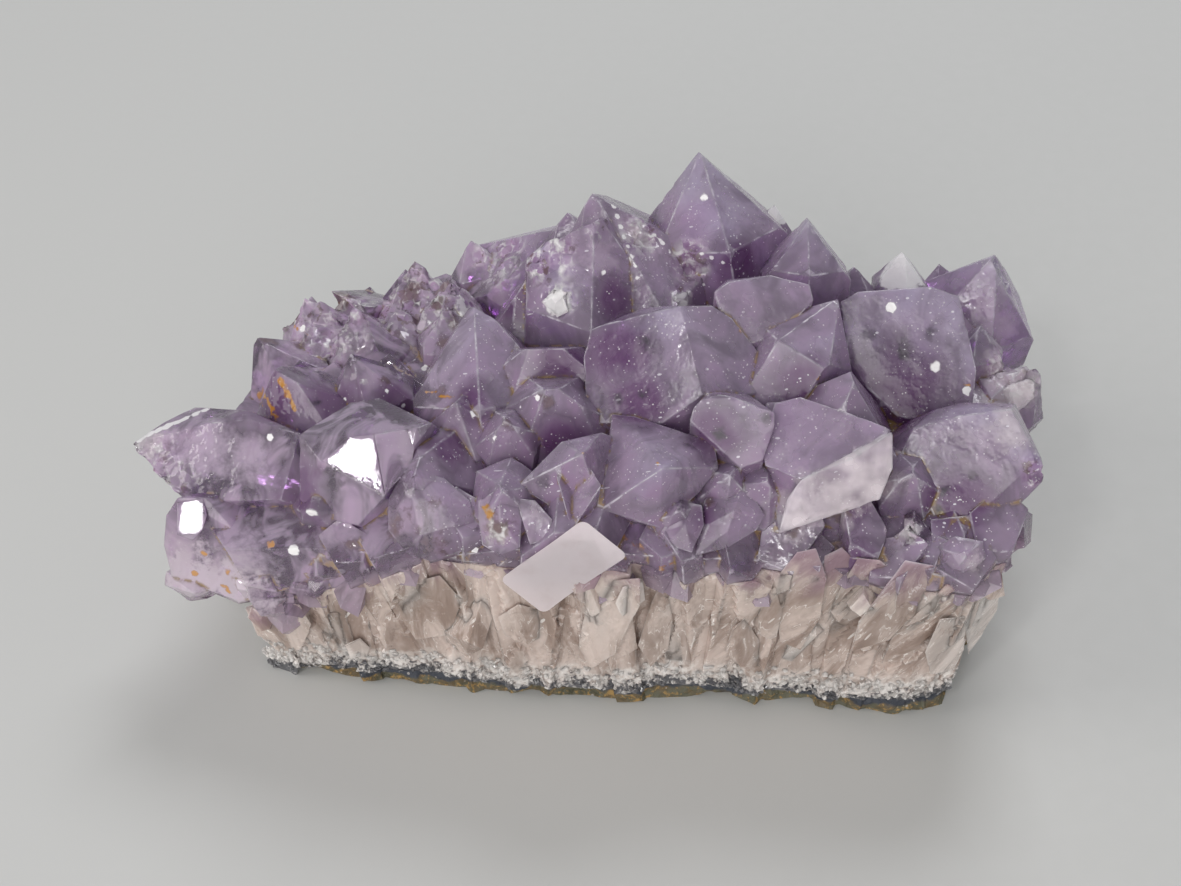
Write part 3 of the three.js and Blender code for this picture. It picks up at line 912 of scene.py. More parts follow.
    def bump(
        self, height: object, depth: float, strength: object = 1.0, normal: Socket | None = None
    ) -> Socket:
        """Returns a normal with relief of a depth in metres."""
        inputs = {"Height": height, "Distance": depth, "Strength": strength}
        if normal is not None:
            inputs["Normal"] = normal
        return self.node("ShaderNodeBump", inputs).outputs["Normal"]

    def tilted(self, tilts: Socket, share: Socket) -> Socket:
        """Returns the surface's normal tilted by a colour, for small facets that glitter."""

        def step(what: str, inputs: dict[str | int, object]) -> Socket:
            """Returns the result of a sum with directions."""
            return self.node("ShaderNodeVectorMath", inputs, operation=what).outputs[0]

        lean = step("SUBTRACT", {0: tilts, 1: (0.5, 0.5, 0.5)})
        lean = step("SCALE", {0: lean, "Scale": share})
        plain = self.node("ShaderNodeNewGeometry").outputs["Normal"]
        return step("NORMALIZE", {0: step("ADD", {0: plain, 1: lean})})

    def finish(
        self, surface: bpy.types.Node, volume: bpy.types.Node | None = None
    ) -> bpy.types.Material:
        """Joins the shaders to the output and returns the material."""
        self.tree.links.new(surface.outputs[0], self.out.inputs["Surface"])
        if volume is not None:
            self.tree.links.new(volume.outputs[0], self.out.inputs["Volume"])
        return self.material


class Grain:
    """The patterns that the quartz's looks share, each around 0 or from 0 to 1."""

    def __init__(self, w: Wiring) -> None:
        """Adds their nodes."""
        self.dirt = w.centred(w.noise(2.2 * MM, 3, 0.65))
        self.lumps = w.centred(w.noise(4.5 * MM, 2, 0.6))
        slanting = w.stretched(0.45, (0.5, 0.3, 0.2))
        self.veils = w.centred(w.noise(6 * MM, 3, 0.6, slanting, 0.8))
        self.broken = w.spread(w.field(Field.FRACTURE), -0.1, 0.5)
        cells = w.node("ShaderNodeTexVoronoi", {"Vector": w.place, "Scale": 1 / (1.6 * MM)})
        self.splinters = cells.outputs["Distance"]
        self.tilts = cells.outputs["Color"]
        self.chips = w.node("ShaderNodeSeparateColor", {"Color": self.tilts}).outputs[1]


@dataclass(frozen=True)
class AmethystFinish:
    """Clear to cloudy purple quartz with dust, stains and dark inclusions."""

    ior: float = QUARTZ_IOR
    shine: float = 0.35  # specular level
    scatter: float = 0.3
    scatter_depth: float = 1.5 * MM
    absorbed: Colour = (0.64, 0.31, 0.75)
    density: float = 125.0  # per metre
    clear_left: Colour = (0.89, 0.76, 0.93)
    clear_right: Colour = (0.84, 0.70, 0.90)
    cloud_left: Colour = (0.46, 0.29, 0.46)
    tips: Colour = (0.33, 0.295, 0.44)
    # tips is a bluish painted sheen and feet a deep purple painted shade, laid over the quartz's own
    # purple
    faces: Colour = (0.24, 0.10, 0.25)
    feet: Colour = (0.14, 0.018, 0.145)
    deep: Colour = (0.07, 0.006, 0.085)
    # dust with a painted sky sheen, laid on faces that look up
    dust_and_sheen: Colour = (0.28, 0.255, 0.34)
    veil: Colour = (0.55, 0.43, 0.56)
    worn: Colour = (0.60, 0.57, 0.63)
    white: Colour = (0.88, 0.86, 0.87)
    pale: Colour = (0.78, 0.70, 0.74)
    dark: Colour = (0.03, 0.028, 0.035)
    rust: Colour = (0.58, 0.27, 0.02)
    earth: Colour = (0.33, 0.22, 0.07)
    brown: Colour = (0.10, 0.05, 0.025)
    milky: Colour = (0.48, 0.38, 0.40)

    def build(self) -> bpy.types.Material:
        """Returns the material."""
        w = Wiring("amethyst")
        clear = w.field(Field.CLEAR)
        grain = Grain(w)
        cloud = self.cloudiness(w, clear, grain)
        glass = w.blend(clear, self.clear_right, self.clear_left)
        tint = w.blend(cloud, glass, self.body(w, clear, grain))
        solid = w.times(cloud, w.spread(w.field(Field.SHADE), -0.1, -0.9, 1, 0.15))
        for share, shade in (*self.inside(w, grain), *self.outside(w, clear, grain)):
            tint = w.blend(share, tint, shade)
            solid = w.math("MAXIMUM", solid, share)
        rough = w.spread(grain.lumps, -0.2, 0.2, 0.13, 0.32)
        smooth = w.spread(grain.dirt, -0.2, 0.2, 0.02, 0.09)
        mirror = w.spread(w.field(Field.MIRROR), 0, 0.3)
        polish = w.between(mirror, w.between(clear, rough, smooth), 0.02)
        uneven = w.math("SUBTRACT", 1, mirror)
        facets = w.tilted(grain.tilts, grain.broken)
        shader = w.node("ShaderNodeBsdfPrincipled", {
            "Base Color": tint,
            "Roughness": polish,
            "IOR": self.ior,
            "Transmission Weight": w.math("SUBTRACT", 1, solid, clamp=True),
            "Specular IOR Level": self.shine,
            "Subsurface Weight": self.scatter,
            "Subsurface Radius": (1.0, 1.0, 1.0),
            "Subsurface Scale": self.scatter_depth,
            "Normal": w.bump(w.noise(4 * MM), 0.3 * MM, uneven, facets),
        })
        inside = {"Color": self.absorbed, "Density": self.density}
        return w.finish(shader, w.node("ShaderNodeVolumeAbsorption", inside))

    def body(self, w: Wiring, clear: Socket, grain: Grain) -> Socket:
        """Returns the clouds' colour: a bluish painted sheen at tips and ridges, deep purple painted
        shade near the feet.
        """
        height = w.ragged(w.field(Field.CREVICE), grain.lumps, 7 * MM)
        inward = w.ragged(w.field(Field.RIM), grain.lumps, 5 * MM)
        # painted sheen: lighter and bluer towards the ridges and high above the crevices
        painted_sheen = w.times(w.spread(inward, 6 * MM, 0, 0.5, 1), w.spread(height, 3 * MM, 9 * MM))
        colour = w.blend(painted_sheen, self.faces, self.tips)
        # painted shade: deep purple towards the crevices
        colour = w.blend(w.spread(height, 5.0 * MM, 0.3 * MM, 0, 0.95), colour, self.feet)
        colour = w.blend(clear, colour, self.cloud_left)
        # faces that look up get dust and a painted sky sheen
        colour = w.blend(w.spread(w.facing_up(), 0.35, 1.0, 0, 0.4), colour, self.dust_and_sheen)
        pits = w.times(w.spread(grain.dirt, -0.05, -0.25, 0, 0.4), w.math("SUBTRACT", 1, clear))
        return w.blend(pits, colour, self.deep)

    def cloudiness(self, w: Wiring, clear: Socket, grain: Grain) -> Socket:
        """Returns how cloudy the quartz is: veils and dust on the right, broken veils on the left."""
        left = w.spread(grain.veils, -0.08, 0.16, 0.12, 0.6)
        right = w.spread(grain.veils, -0.2, 0.2, 0.24, 0.66)
        right = w.times(right, w.spread(w.field(Field.PURPLE), -3 * MM, 9 * MM, 0.35, 1))
        return w.math("ADD", w.between(clear, right, left), w.times(grain.broken, 0.3), clamp=True)

    def inside(self, w: Wiring, grain: Grain) -> Stained:
        """Returns the shares and colours of what grew in the quartz."""

        def marked(name: Field, reach: float) -> Socket:
            """Returns a group of marks with a ragged border."""
            return w.ragged(w.field(name), grain.dirt, reach)

        tone = w.ragged(w.field(Field.SHADE), grain.lumps, 1.1)
        low = w.ragged(w.field(Field.PURPLE), grain.lumps, 9 * MM)
        deep = w.ragged(w.field(Field.DEEP), grain.lumps, 0.9)
        patch = w.ragged(grain.dirt, w.centred(grain.chips), 0.25)
        light = w.times(w.spread(patch, 0.06, 0.16), grain.broken)
        dull = w.times(w.spread(patch, -0.1, -0.2), grain.broken)
        return [
            (w.times(light, 0.65), self.white),
            (w.times(dull, 0.7), self.brown),
            (w.spread(low, 5 * MM, -3 * MM, 0, 0.45), self.milky),
            (w.spread(marked(Field.VEIL, 1.2), -0.1, 1.0, 0, 0.6), self.veil),
            (w.spread(deep, -0.05, 0.75, 0, 0.85), self.deep),
            (w.spread(tone, 0.1, 1.1, 0, 0.92), self.pale),
            (w.spread(marked(Field.PALE, 1.8), -0.1, 0.6, 0, 0.6), self.pale),
            (w.spread(marked(Field.BROWN, 2.5), 0.0, 0.7, 0, 0.72), self.brown),
            (w.spread(marked(Field.INCLUSION, 2.2), 0.05, 1.0, 0, 0.85), self.dark),
            (w.spread(marked(Field.STAIN, 2.2), 0.1, 0.5, 0, 0.85), self.rust),
        ]

    def outside(self, w: Wiring, clear: Socket, grain: Grain) -> Stained:
        """Returns the shares and colours of dirt, worn edges, specks, dots, white chips and painted
        highlights.
        """
        dirt = grain.dirt
        gap = w.spread(w.field(Field.CREVICE), 0.6 * MM, 0.05 * MM)
        rim = w.spread(w.field(Field.RIM), 0.34 * MM, 0.05 * MM)
        chips = w.between(
            clear, w.spread(dirt, -0.12, 0.12, 0.15, 0.85), w.spread(dirt, 0, 0.16, 0, 0.7)
        )
        dot = w.ragged(w.field(Field.DOT), dirt, 0.9)
        white = w.ragged(w.field(Field.WHITE), dirt, 0.9)
        dusty = w.times(w.spread(grain.veils, -0.12, 0.05, 0.35, 1), w.between(clear, 1.0, 0.4))
        splits = w.times(w.spread(grain.splinters, 0.52, 0.7), grain.broken)
        return [
            (w.times(gap, w.spread(dirt, -0.04, 0.08, 0, 0.85)), self.earth),
            (w.times(rim, chips), self.worn),
            (w.times(splits, w.spread(dirt, -0.05, 0.12, 0.1, 0.8)), self.white),
            (w.times(w.speckle(0.42 * MM, 0.55), w.times(dusty, 0.75)), self.white),
            (w.times(w.hairs(0.6 * MM, 0.16, (0.6, 0.9, 0.2)), dusty), self.worn),
            # white chips, and painted highlights along the left crystal's edges
            (w.spread(white, 0, 0.25, 0, 0.92), self.white),
            (w.spread(dot, 0, 0.25), self.white),
        ]


@dataclass(frozen=True)
class MilkyFinish:
    """Milky quartz: clear and brownish between its columns, white and grainy at the foot, with painted
    glints.
    """

    body: Colour = (0.60, 0.50, 0.455)
    shade: Colour = (0.29, 0.215, 0.18)
    white: Colour = (0.84, 0.79, 0.76)
    purple: Colour = (0.27, 0.17, 0.22)
    rust: Colour = (0.50, 0.26, 0.06)
    seam: Colour = (0.06, 0.065, 0.08)
    scatter: float = 0.7
    scatter_depth: float = 2.0 * MM

    def build(self) -> bpy.types.Material:
        """Returns the material."""
        w = Wiring("milky_quartz")
        column = w.node("ShaderNodeAttribute", attribute_name=Field.COLUMN.value).outputs["Vector"]
        along = w.stretched(0.3, place=column)
        streaks = w.noise(4 * MM, 4, 0.62, along, 0.7)
        tint = w.blend(w.spread(streaks, 0.36, 0.64), self.body, self.shade)
        tint = w.blend(w.spread(w.field(Field.SHADE), 0.25, 1.0, 0, 0.7), tint, self.white)
        grit = w.centred(w.noise(1.2 * MM))
        line = w.math("ABSOLUTE", w.math("SUBTRACT", w.times(grit, 0.03), w.centred(streaks)))
        healed = w.times(w.spread(line, 0.008, 0.001), w.spread(grit, -0.08, 0.08, 0.1, 0.85))
        tint = w.blend(healed, tint, self.white)
        # painted glints: short white streaks among the columns
        painted_glints = w.times(w.hairs(0.9 * MM, 0.2, (0.5, 0.3, 0.9)), w.spread(streaks, 0.45, 0.6))
        tint = w.blend(w.times(painted_glints, 0.8), tint, self.white)
        top = w.ragged(w.field(Field.PURPLE), w.centred(streaks), 22 * MM)
        tint = w.blend(w.spread(top, -4 * MM, 4 * MM, 0, 0.85), tint, self.purple)
        stain = w.ragged(w.field(Field.STAIN), grit, 2)
        tint = w.blend(w.spread(stain, 0, 0.5, 0, 0.8), tint, self.rust)
        foot = w.ragged(w.field(Field.FOOT), w.centred(w.noise(5 * MM, 2)), 5 * MM)
        crust = w.times(w.spread(foot, 6.5 * MM, 2.5 * MM), w.spread(grit, -0.12, 0.08, 0.15, 0.85))
        tint = w.blend(crust, tint, self.white)
        low = w.ragged(foot, grit, 9 * MM)
        tint = w.blend(w.spread(low, 1.9 * MM, 0.5 * MM, 0, 0.9), tint, self.seam)
        ridges = w.noise(1.4 * MM, 3, 0.6, along)
        shader = w.node("ShaderNodeBsdfPrincipled", {
            "Base Color": tint,
            "Roughness": w.spread(grit, -0.15, 0.15, 0.05, 0.28),
            "IOR": QUARTZ_IOR,
            "Subsurface Weight": self.scatter,
            "Subsurface Radius": (1.0, 1.0, 1.0),
            "Subsurface Scale": self.scatter_depth,
            "Normal": w.bump(ridges, 0.22 * MM),
        })
        return w.finish(shader)


@dataclass(frozen=True)
class RockFinish:
    """The rind: blue-black and smooth above, brown-green and grainy below."""

    line: Colour = (0.045, 0.05, 0.065)
    grain: Colour = (0.13, 0.095, 0.05)
    moss: Colour = (0.11, 0.105, 0.07)
    gold: Colour = (0.40, 0.25, 0.09)
    crust: Colour = (0.50, 0.46, 0.44)

    def build(self) -> bpy.types.Material:
        """Returns the material."""
        w = Wiring("rock")
        grains = w.noise(0.9 * MM, 4, 0.7)
        tint = w.blend(w.spread(w.noise(3 * MM, 4), 0.4, 0.6), self.grain, self.moss)
        tint = w.blend(w.spread(grains, 0.52, 0.62, 0, 0.8), tint, self.gold)
        level = w.ragged(w.field(Field.RISE), w.centred(w.noise(4 * MM, 4)), 4 * MM)
        tint = w.blend(w.spread(level, 1.6 * MM, 2.2 * MM), tint, self.line)
        tint = w.blend(w.times(w.speckle(0.9 * MM, 0.3), 0.6), tint, self.crust)
        shader = w.node("ShaderNodeBsdfPrincipled", {
            "Base Color": tint,
            "Roughness": w.spread(grains, 0.3, 0.7, 0.45, 0.9),
            "Normal": w.bump(grains, 0.3 * MM),
        })
        return w.finish(shader)


@dataclass(frozen=True)
class PaperFinish:
    """Smooth pinkish-white paper, a little handled."""

    paper: Colour = (0.90, 0.83, 0.85)
    grime: Colour = (0.80, 0.71, 0.72)

    def build(self) -> bpy.types.Material:
        """Returns the material."""
        w = Wiring("label_paper")
        smudge = w.spread(w.noise(4 * MM, 4), 0.45, 0.75, 0, 0.45)
        shader = w.node("ShaderNodeBsdfPrincipled", {
            "Base Color": w.blend(smudge, self.paper, self.grime),
            "Roughness": w.spread(w.noise(1 * MM, 3), 0.3, 0.7, 0.55, 0.7),
            "Sheen Weight": 0.1,
            "Normal": w.bump(w.noise(0.25 * MM, 5, 0.7), 0.02 * MM),
        })
        return w.finish(shader)


@dataclass(frozen=True)
class FloorFinish:
    """A plain pale surface."""

    pale: Colour = (0.56, 0.56, 0.55)

    def build(self) -> bpy.types.Material:
        """Returns the material."""
        w = Wiring("pale_floor")
        shader = w.node("ShaderNodeBsdfPrincipled", {
            "Base Color": self.pale,
            "Roughness": w.spread(w.noise(3 * MM, 3), 0.3, 0.7, 0.6, 0.7),
        })
        return w.finish(shader)


def to_object(mesh: BMesh, name: str, fields: dict[Field, np.ndarray]) -> bpy.types.Object:
    """Turns a mesh into an object that carries values at its points.

    Args:
        mesh: the mesh, which is freed.
        name: the piece's name.
        fields: one array for each value.

    Returns:
        The object, linked to the scene.
    """
    data = bpy.data.meshes.new(name)
    mesh.to_mesh(data)
    mesh.free()
    for key, values in fields.items():
        flat = np.asarray(values, np.float32)
        kind, entry = ("FLOAT", "value") if flat.ndim == 1 else ("FLOAT_VECTOR", "vector")
        data.attributes.new(key.value, kind, "POINT").data.foreach_set(entry, flat.ravel())
    made = bpy.data.objects.new(name, data)
    bpy.context.scene.collection.objects.link(made)
    return made


def places_of(mesh: BMesh) -> np.ndarray:
    """Returns the mesh's points, one to a row."""
    return np.array([v.co for v in mesh.verts])


def normals_of(mesh: BMesh) -> np.ndarray:
    """Returns the normals at the mesh's points, one to a row."""
    return np.array([v.normal for v in mesh.verts])


def move_points(mesh: BMesh, places: np.ndarray) -> None:
    """Moves the mesh's points, but no further than the CAD model's box."""
    low, high = (np.array(corner) for corner in CAD_BOX)
    for vertex, place in zip(mesh.verts, np.clip(places, low, high), strict=True):
        vertex.co = place
    mesh.normal_update()


def settle(piece: bpy.types.Object, node: str, finish: bpy.types.Material) -> None:
    """Puts a piece in a CAD node's place.

    Args:
        piece: the piece.
        node: the node that it stands for.
        finish: its material.
    """
    piece.data.materials.clear()
    piece.data.materials.append(finish)
    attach(piece, BODY)
    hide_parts(node)
    log.info("%s: %d faces", piece.name, len(piece.data.polygons))


@dataclass
class PaperLabel:
    """The blank sticker on the front wall."""

    node: str = "paper_label"
    length: float = 17 * MM
    height: float = 8.4 * MM
    corner: float = 1.1 * MM
    thickness: float = 0.14 * MM
    roll: float = math.radians(47)
    lift: float = math.radians(2)
    heading: float = math.radians(-7)
    proud: float = 0.08 * MM  # from the middle of the CAD label
    steps: tuple[int, int] = (48, 24)
    curl: float = 2 * MM  # how strongly the free end bends up
    sag: float = 0.12 * MM
    clearance: float = 0.3 * MM  # what stays free behind it
    crease: float = math.radians(50)
    piece: bpy.types.Object | None = None

    def pose(self) -> Matrix:
        """Returns the sticker's place: x along it, y up it and z out of the wall."""
        low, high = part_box(self.node)
        turn = (
            Matrix.Rotation(self.heading, 4, "Z")
            @ Matrix.Rotation(math.pi / 2 - self.lift, 4, "X")
            @ Matrix.Rotation(self.roll, 4, "Z")
        )
        return Matrix.Translation((low + high) / 2) @ turn @ Matrix.Translation((0, 0, self.proud))

    def covers(self, place: Vector, reach: float) -> bool:
        """Tells whether something of a radius at a place comes near the sticker."""
        local = self.pose().inverted() @ place
        beside = abs(local.x) > self.length / 2 + reach or abs(local.y) > self.height / 2 + reach
        return not beside and local.z > -reach - self.clearance

    def build(self) -> None:
        """Makes the sticker: thin paper with round corners, a little curled at its free end."""
        mesh = bmesh.new()
        columns, rows = self.steps
        grid = {}
        for i in range(columns + 1):
            for j in range(rows + 1):
                x = self.length * (i / columns - 0.5)
                y = self.height * (j / rows - 0.5)
                grid[i, j] = mesh.verts.new(self.rounded(x, y))
        for i in range(columns):
            for j in range(rows):
                mesh.faces.new((grid[i, j], grid[i + 1, j], grid[i + 1, j + 1], grid[i, j + 1]))
        bmesh.ops.solidify(mesh, geom=list(mesh.faces), thickness=self.thickness)
        mesh.transform(self.pose())
        bmesh.ops.recalc_face_normals(mesh, faces=mesh.faces)
        self.piece = to_object(mesh, "blank_label", {})

    def rounded(self, x: float, y: float) -> Vector:
        """Returns a grid point drawn in at the round corners and lifted by the curl."""
        far = Vector((abs(x) - self.length / 2 + self.corner, abs(y) - self.height / 2 + self.corner))
        if far.x > 0 and far.y > 0:  # beyond the middle of a round corner
            share = max(far.x, far.y) / far.length
            x = math.copysign(self.length / 2 - self.corner + far.x * share, x)
            y = math.copysign(self.height / 2 - self.corner + far.y * share, y)
        curl = self.curl * max(0, -x / self.length - 0.1) ** 2
        sag = self.sag * math.sin(x / (3 * MM) + y / (4 * MM))
        return Vector((x, y, curl + sag))

    def dress(self) -> None:
        """Gives the sticker its finish and place."""
        paper = self.piece.data
        paper.polygons.foreach_set("use_smooth", [True] * len(paper.polygons))
        paper.set_sharp_from_angle(angle=self.crease)
        settle(self.piece, self.node, PaperFinish().build())


@dataclass
class AmethystCrown:
    """The intergrown purple crystals."""

    finder: Finder
    label: PaperLabel
    node: str = "amethyst_crystals"
    pitch: float = 0.9 * MM
    fine_pitch: float = 0.5 * MM
    wear: float = 0.14 * MM
    sink: float = 0.55 * MM  # how far the underside goes down into the milky quartz
    cracks: int = 110
    cracked_to: float = -12 * MM  # along the block, right of it only some of the cracks stay
    kept_beyond: float = 0.3
    crack_room: float = 1.2 * MM  # from a crack's middle to the surface
    largest_crack: float = 4 * MM
    lobe_area: float = 9 * MM * MM  # of the wall's sides, for each purple piece over it
    lobe_band: float = 3 * MM  # how far from the purple boundary they stay
    wave: float = 3.5 * MM  # how far that boundary goes up and down
    wave_length: float = 9 * MM
    clear_from: float = -18.0  # mm along the block, where the quartz gets clear
    clear_fade: float = 9.0  # mm
    undulation: float = 0.07 * MM
    nick: float = 0.5 * MM  # the deepest one
    ledge: float = 0.55 * MM  # the highest one of the broken quartz
    label_room: float = 9 * MM  # stays smooth around the sticker's middle
    piece: bpy.types.Object | None = None

    def build(self) -> None:
        """Makes the crystals' mesh with its worn, chipped and broken places."""
        broken = [(self.finder.place(m.pixel), m.radius * MM) for m in FRACTURES]

        def pitch_at(place: Vector) -> float:
            """Returns a fine pitch where the quartz is broken."""
            hit = any((place - centre).length < radius for centre, radius in broken)
            return self.fine_pitch if hit else self.pitch

        source = FacetMesh(self.node, self.pitch, self.wear, pitch_at, smooth=True)
        mesh = source.build(self.finder, GROWN_PIECES)
        points, normals = places_of(mesh), normals_of(mesh)
        fields = self.fields(source, points)
        points = points + normals * self.relief(points, fields)[:, None]
        under = (normals[:, 2] < LOOKS_DOWN) & (points[:, 2] < purple_floor(points) + 3 * MM)
        points[under, 2] -= self.sink
        move_points(mesh, points)
        self.add_cracks(mesh)
        self.add_lobes(mesh)
        points = places_of(mesh)
        move_points(mesh, points)
        self.piece = to_object(mesh, "amethyst_points", self.fields(source, points))

    def add_cracks(self, mesh: BMesh) -> None:
        """Adds thin air-filled cracks inside the crystals, most of them on the clear left."""
        draws = np.random.default_rng(31)
        solid = BVHTree.FromBMesh(mesh)
        low, high = (np.array(corner) for corner in CROWN_BOX)
        made = 0
        while made < self.cracks:
            place = Vector(draws.uniform(low, high))
            if place.x > self.cracked_to and draws.uniform() > self.kept_beyond:
                continue
            above, facing, _, _ = solid.ray_cast(place, UP)
            room = solid.find_nearest(place)[3]
            if above is None or facing.z < 0 or room < self.crack_room:
                continue
            normal = Vector(draws.normal(0, 1, 3)).normalized()
            add_crack(mesh, place, normal, min(0.85 * room, self.largest_crack), draws)
            made += 1

    def add_lobes(self, mesh: BMesh) -> None:
        """Adds purple pieces of column that reach down over the milky wall."""
        draws = np.random.default_rng(17)
        wall = bmesh.new()
        wall.from_mesh(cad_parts["milky_quartz_base"].data)
        walls = [f for f in wall.faces if abs(f.normal.z) < 0.6]
        for face in walls:
            count = face.calc_area() / self.lobe_area
            for _ in range(int(count + draws.uniform())):
                place = inside_triangle(face, draws)
                self.add_lobe(mesh, place, face.normal.copy(), draws)
        wall.free()

    def add_lobe(self, mesh: BMesh, place: Vector, normal: Vector, draws: Draws) -> None:
        """Adds one purple piece where the place is near the purple boundary."""
        roof = purple_floor(np.array([place]))[0]
        wave = self.wave * noise.noise(place / self.wave_length)
        radius = draws.uniform(1.2, 3.2) * MM
        half = radius * draws.uniform(0.9, 1.3)
        if abs(place.z - roof - wave) > self.lobe_band or self.label.covers(place, radius):
            return
        axis = (UP + Vector(draws.normal(0, 0.6, 3))).normalized()
        if abs(axis.dot(normal)) > 0.8:
            return
        centre = place - normal * radius * draws.uniform(0.65, 0.9)
        Shard(centre, axis, -normal, radius, half, draws.uniform(-0.5, 0.3)).add(mesh, draws)

    def fields(self, source: FacetMesh, points: np.ndarray) -> dict[Field, np.ndarray]:
        """Works out what the material needs at each point.

        Args:
            source: the mesh's maker, which knows the edges.
            points: the mesh's points.

        Returns:
            One array for each value.
        """
        edge = points[:, 0] / MM + 5 * Relief.smooth(points, 9 * MM, 3.1)
        back = np.clip((points[:, 1] / MM - 8) / 10, 0, 1)
        return {
            Field.RIM: distance_to(points, source.rims, 8 * MM),
            Field.CREVICE: distance_to(points, source.crevices, 9 * MM),
            Field.CLEAR: np.clip((self.clear_from + 9 * back - edge) / self.clear_fade, 0, 1),
            **{name: self.finder.depth(points, group) for name, group in CROWN_MARKS.items()},
            Field.PURPLE: points[:, 2] - purple_floor(points),
        }

    def relief(self, points: np.ndarray, fields: dict[Field, np.ndarray]) -> np.ndarray:
        """Gives how far each point stands proud, in metres."""
        nicks = np.clip(Relief.smooth(points, 1.4 * MM, 7.7) - 0.25, 0, 1)
        at_rim = np.clip(1 - fields[Field.RIM] / (1.2 * MM), 0, 1)
        middle = np.array(self.label.pose().translation)
        away = np.linalg.norm(points - middle, axis=1)
        free = np.clip((away - self.label_room) / (2 * MM), 0, 1)
        free *= fields[Field.MIRROR] < 0
        waves = self.undulation * Relief.smooth(points, 5 * MM, 1.9)
        broken = np.clip(fields[Field.FRACTURE] * 2, 0, 1)
        ledges = Relief.facets(points, 2.4 * MM, 11) - 0.3
        return free * (waves - self.nick * nicks * at_rim + self.ledge * broken * ledges)

    def dress(self) -> None:
        """Gives the crystals their finish and place."""
        crisp = self.piece.modifiers.new("crisp_facets", "WEIGHTED_NORMAL")
        crisp.keep_sharp = True
        crisp.weight = 60
        settle(self.piece, self.node, AmethystFinish().build())


@dataclass(frozen=True)
class Shard:
    """A short six-sided piece of broken column, pointed at both ends."""

    place: Vector
    axis: Vector
    inward: Vector
    radius: float
    half: float
    shade: float  # from -1, clear, to 1, white

    def add(self, mesh: BMesh, draws: Draws) -> None:
        """Adds the shard to a mesh.

        Args:
            mesh: the mesh, with a layer for the shade.
            draws: the stream of random numbers.
        """
        layer = mesh.verts.layers.float[Field.SHADE.value]
        across = self.axis.cross(self.inward).normalized()
        along = self.axis.cross(across)
        first = draws.uniform(0, 2 * math.pi)
        angles = [first + math.pi / 3 * (k + draws.uniform(-0.25, 0.25)) for k in range(6)]
        rings = []
        for end in (-0.5, 0.5):
            slant = draws.normal(0, 0.35, 2) * self.radius
            width = self.radius * draws.uniform(0.8, 1.1)
            ring = []
            for angle in angles:
                x, y = math.cos(angle), math.sin(angle)
                tall = end * self.half * 2 * draws.uniform(0.55, 0.8) + slant[0] * x + slant[1] * y
                outward = across * x + along * y
                ring.append(mesh.verts.new(self.place + outward * width + self.axis * tall))
            rings.append(ring)
        drift = self.inward * self.radius * 0.35
        tips = [mesh.verts.new(self.place + self.axis * self.half * end + drift) for end in (-1, 1)]
        for vertex in (*rings[0], *rings[1], *tips):
            vertex[layer] = self.shade
        for k in range(6):
            nxt = (k + 1) % 6
            low, low_next, top, top_next = rings[0][k], rings[0][nxt], rings[1][k], rings[1][nxt]
            mesh.faces.new((low, low_next, top_next))
            mesh.faces.new((low, top_next, top))
            mesh.faces.new((low_next, low, tips[0]))
            mesh.faces.new((top, top_next, tips[1]))


def inside_triangle(face: BMFace, draws: Draws) -> Vector:
    """Returns a random place on a triangle."""
    a, b = sorted(draws.uniform(0, 1, 2))
    first, second, third = (v.co for v in face.verts)
    return first * a + second * (b - a) + third * (1 - b)


def add_crack(mesh: BMesh, place: Vector, normal: Vector, radius: float, draws: Draws) -> None:
    """Adds a thin hollow disc, whose faces look inward.

    Args:
        mesh: the mesh of the solid that is cracked.
        place: the disc's middle.
        normal: its axis.
        radius: its radius in metres.
        draws: the stream of random numbers.
    """
    count, thin, bent = 10, 0.06, 0.12  # corners, mm each way, share of the radius
    across = normal.orthogonal().normalized()
    along = normal.cross(across)
    ring = []
    for k in range(count):
        angle = 2 * math.pi * k / count
        reach = radius * draws.uniform(0.6, 1.0)
        bend = normal * radius * bent * math.sin(2 * angle)
        outward = across * math.cos(angle) + along * math.sin(angle)
        ring.append(mesh.verts.new(place + outward * reach + bend))
    tops = [mesh.verts.new(place + normal * thin * MM * side) for side in (1, -1)]
    for k in range(count):
        nxt = (k + 1) % count
        mesh.faces.new((ring[nxt], ring[k], tops[0]))
        mesh.faces.new((ring[k], ring[nxt], tops[1]))


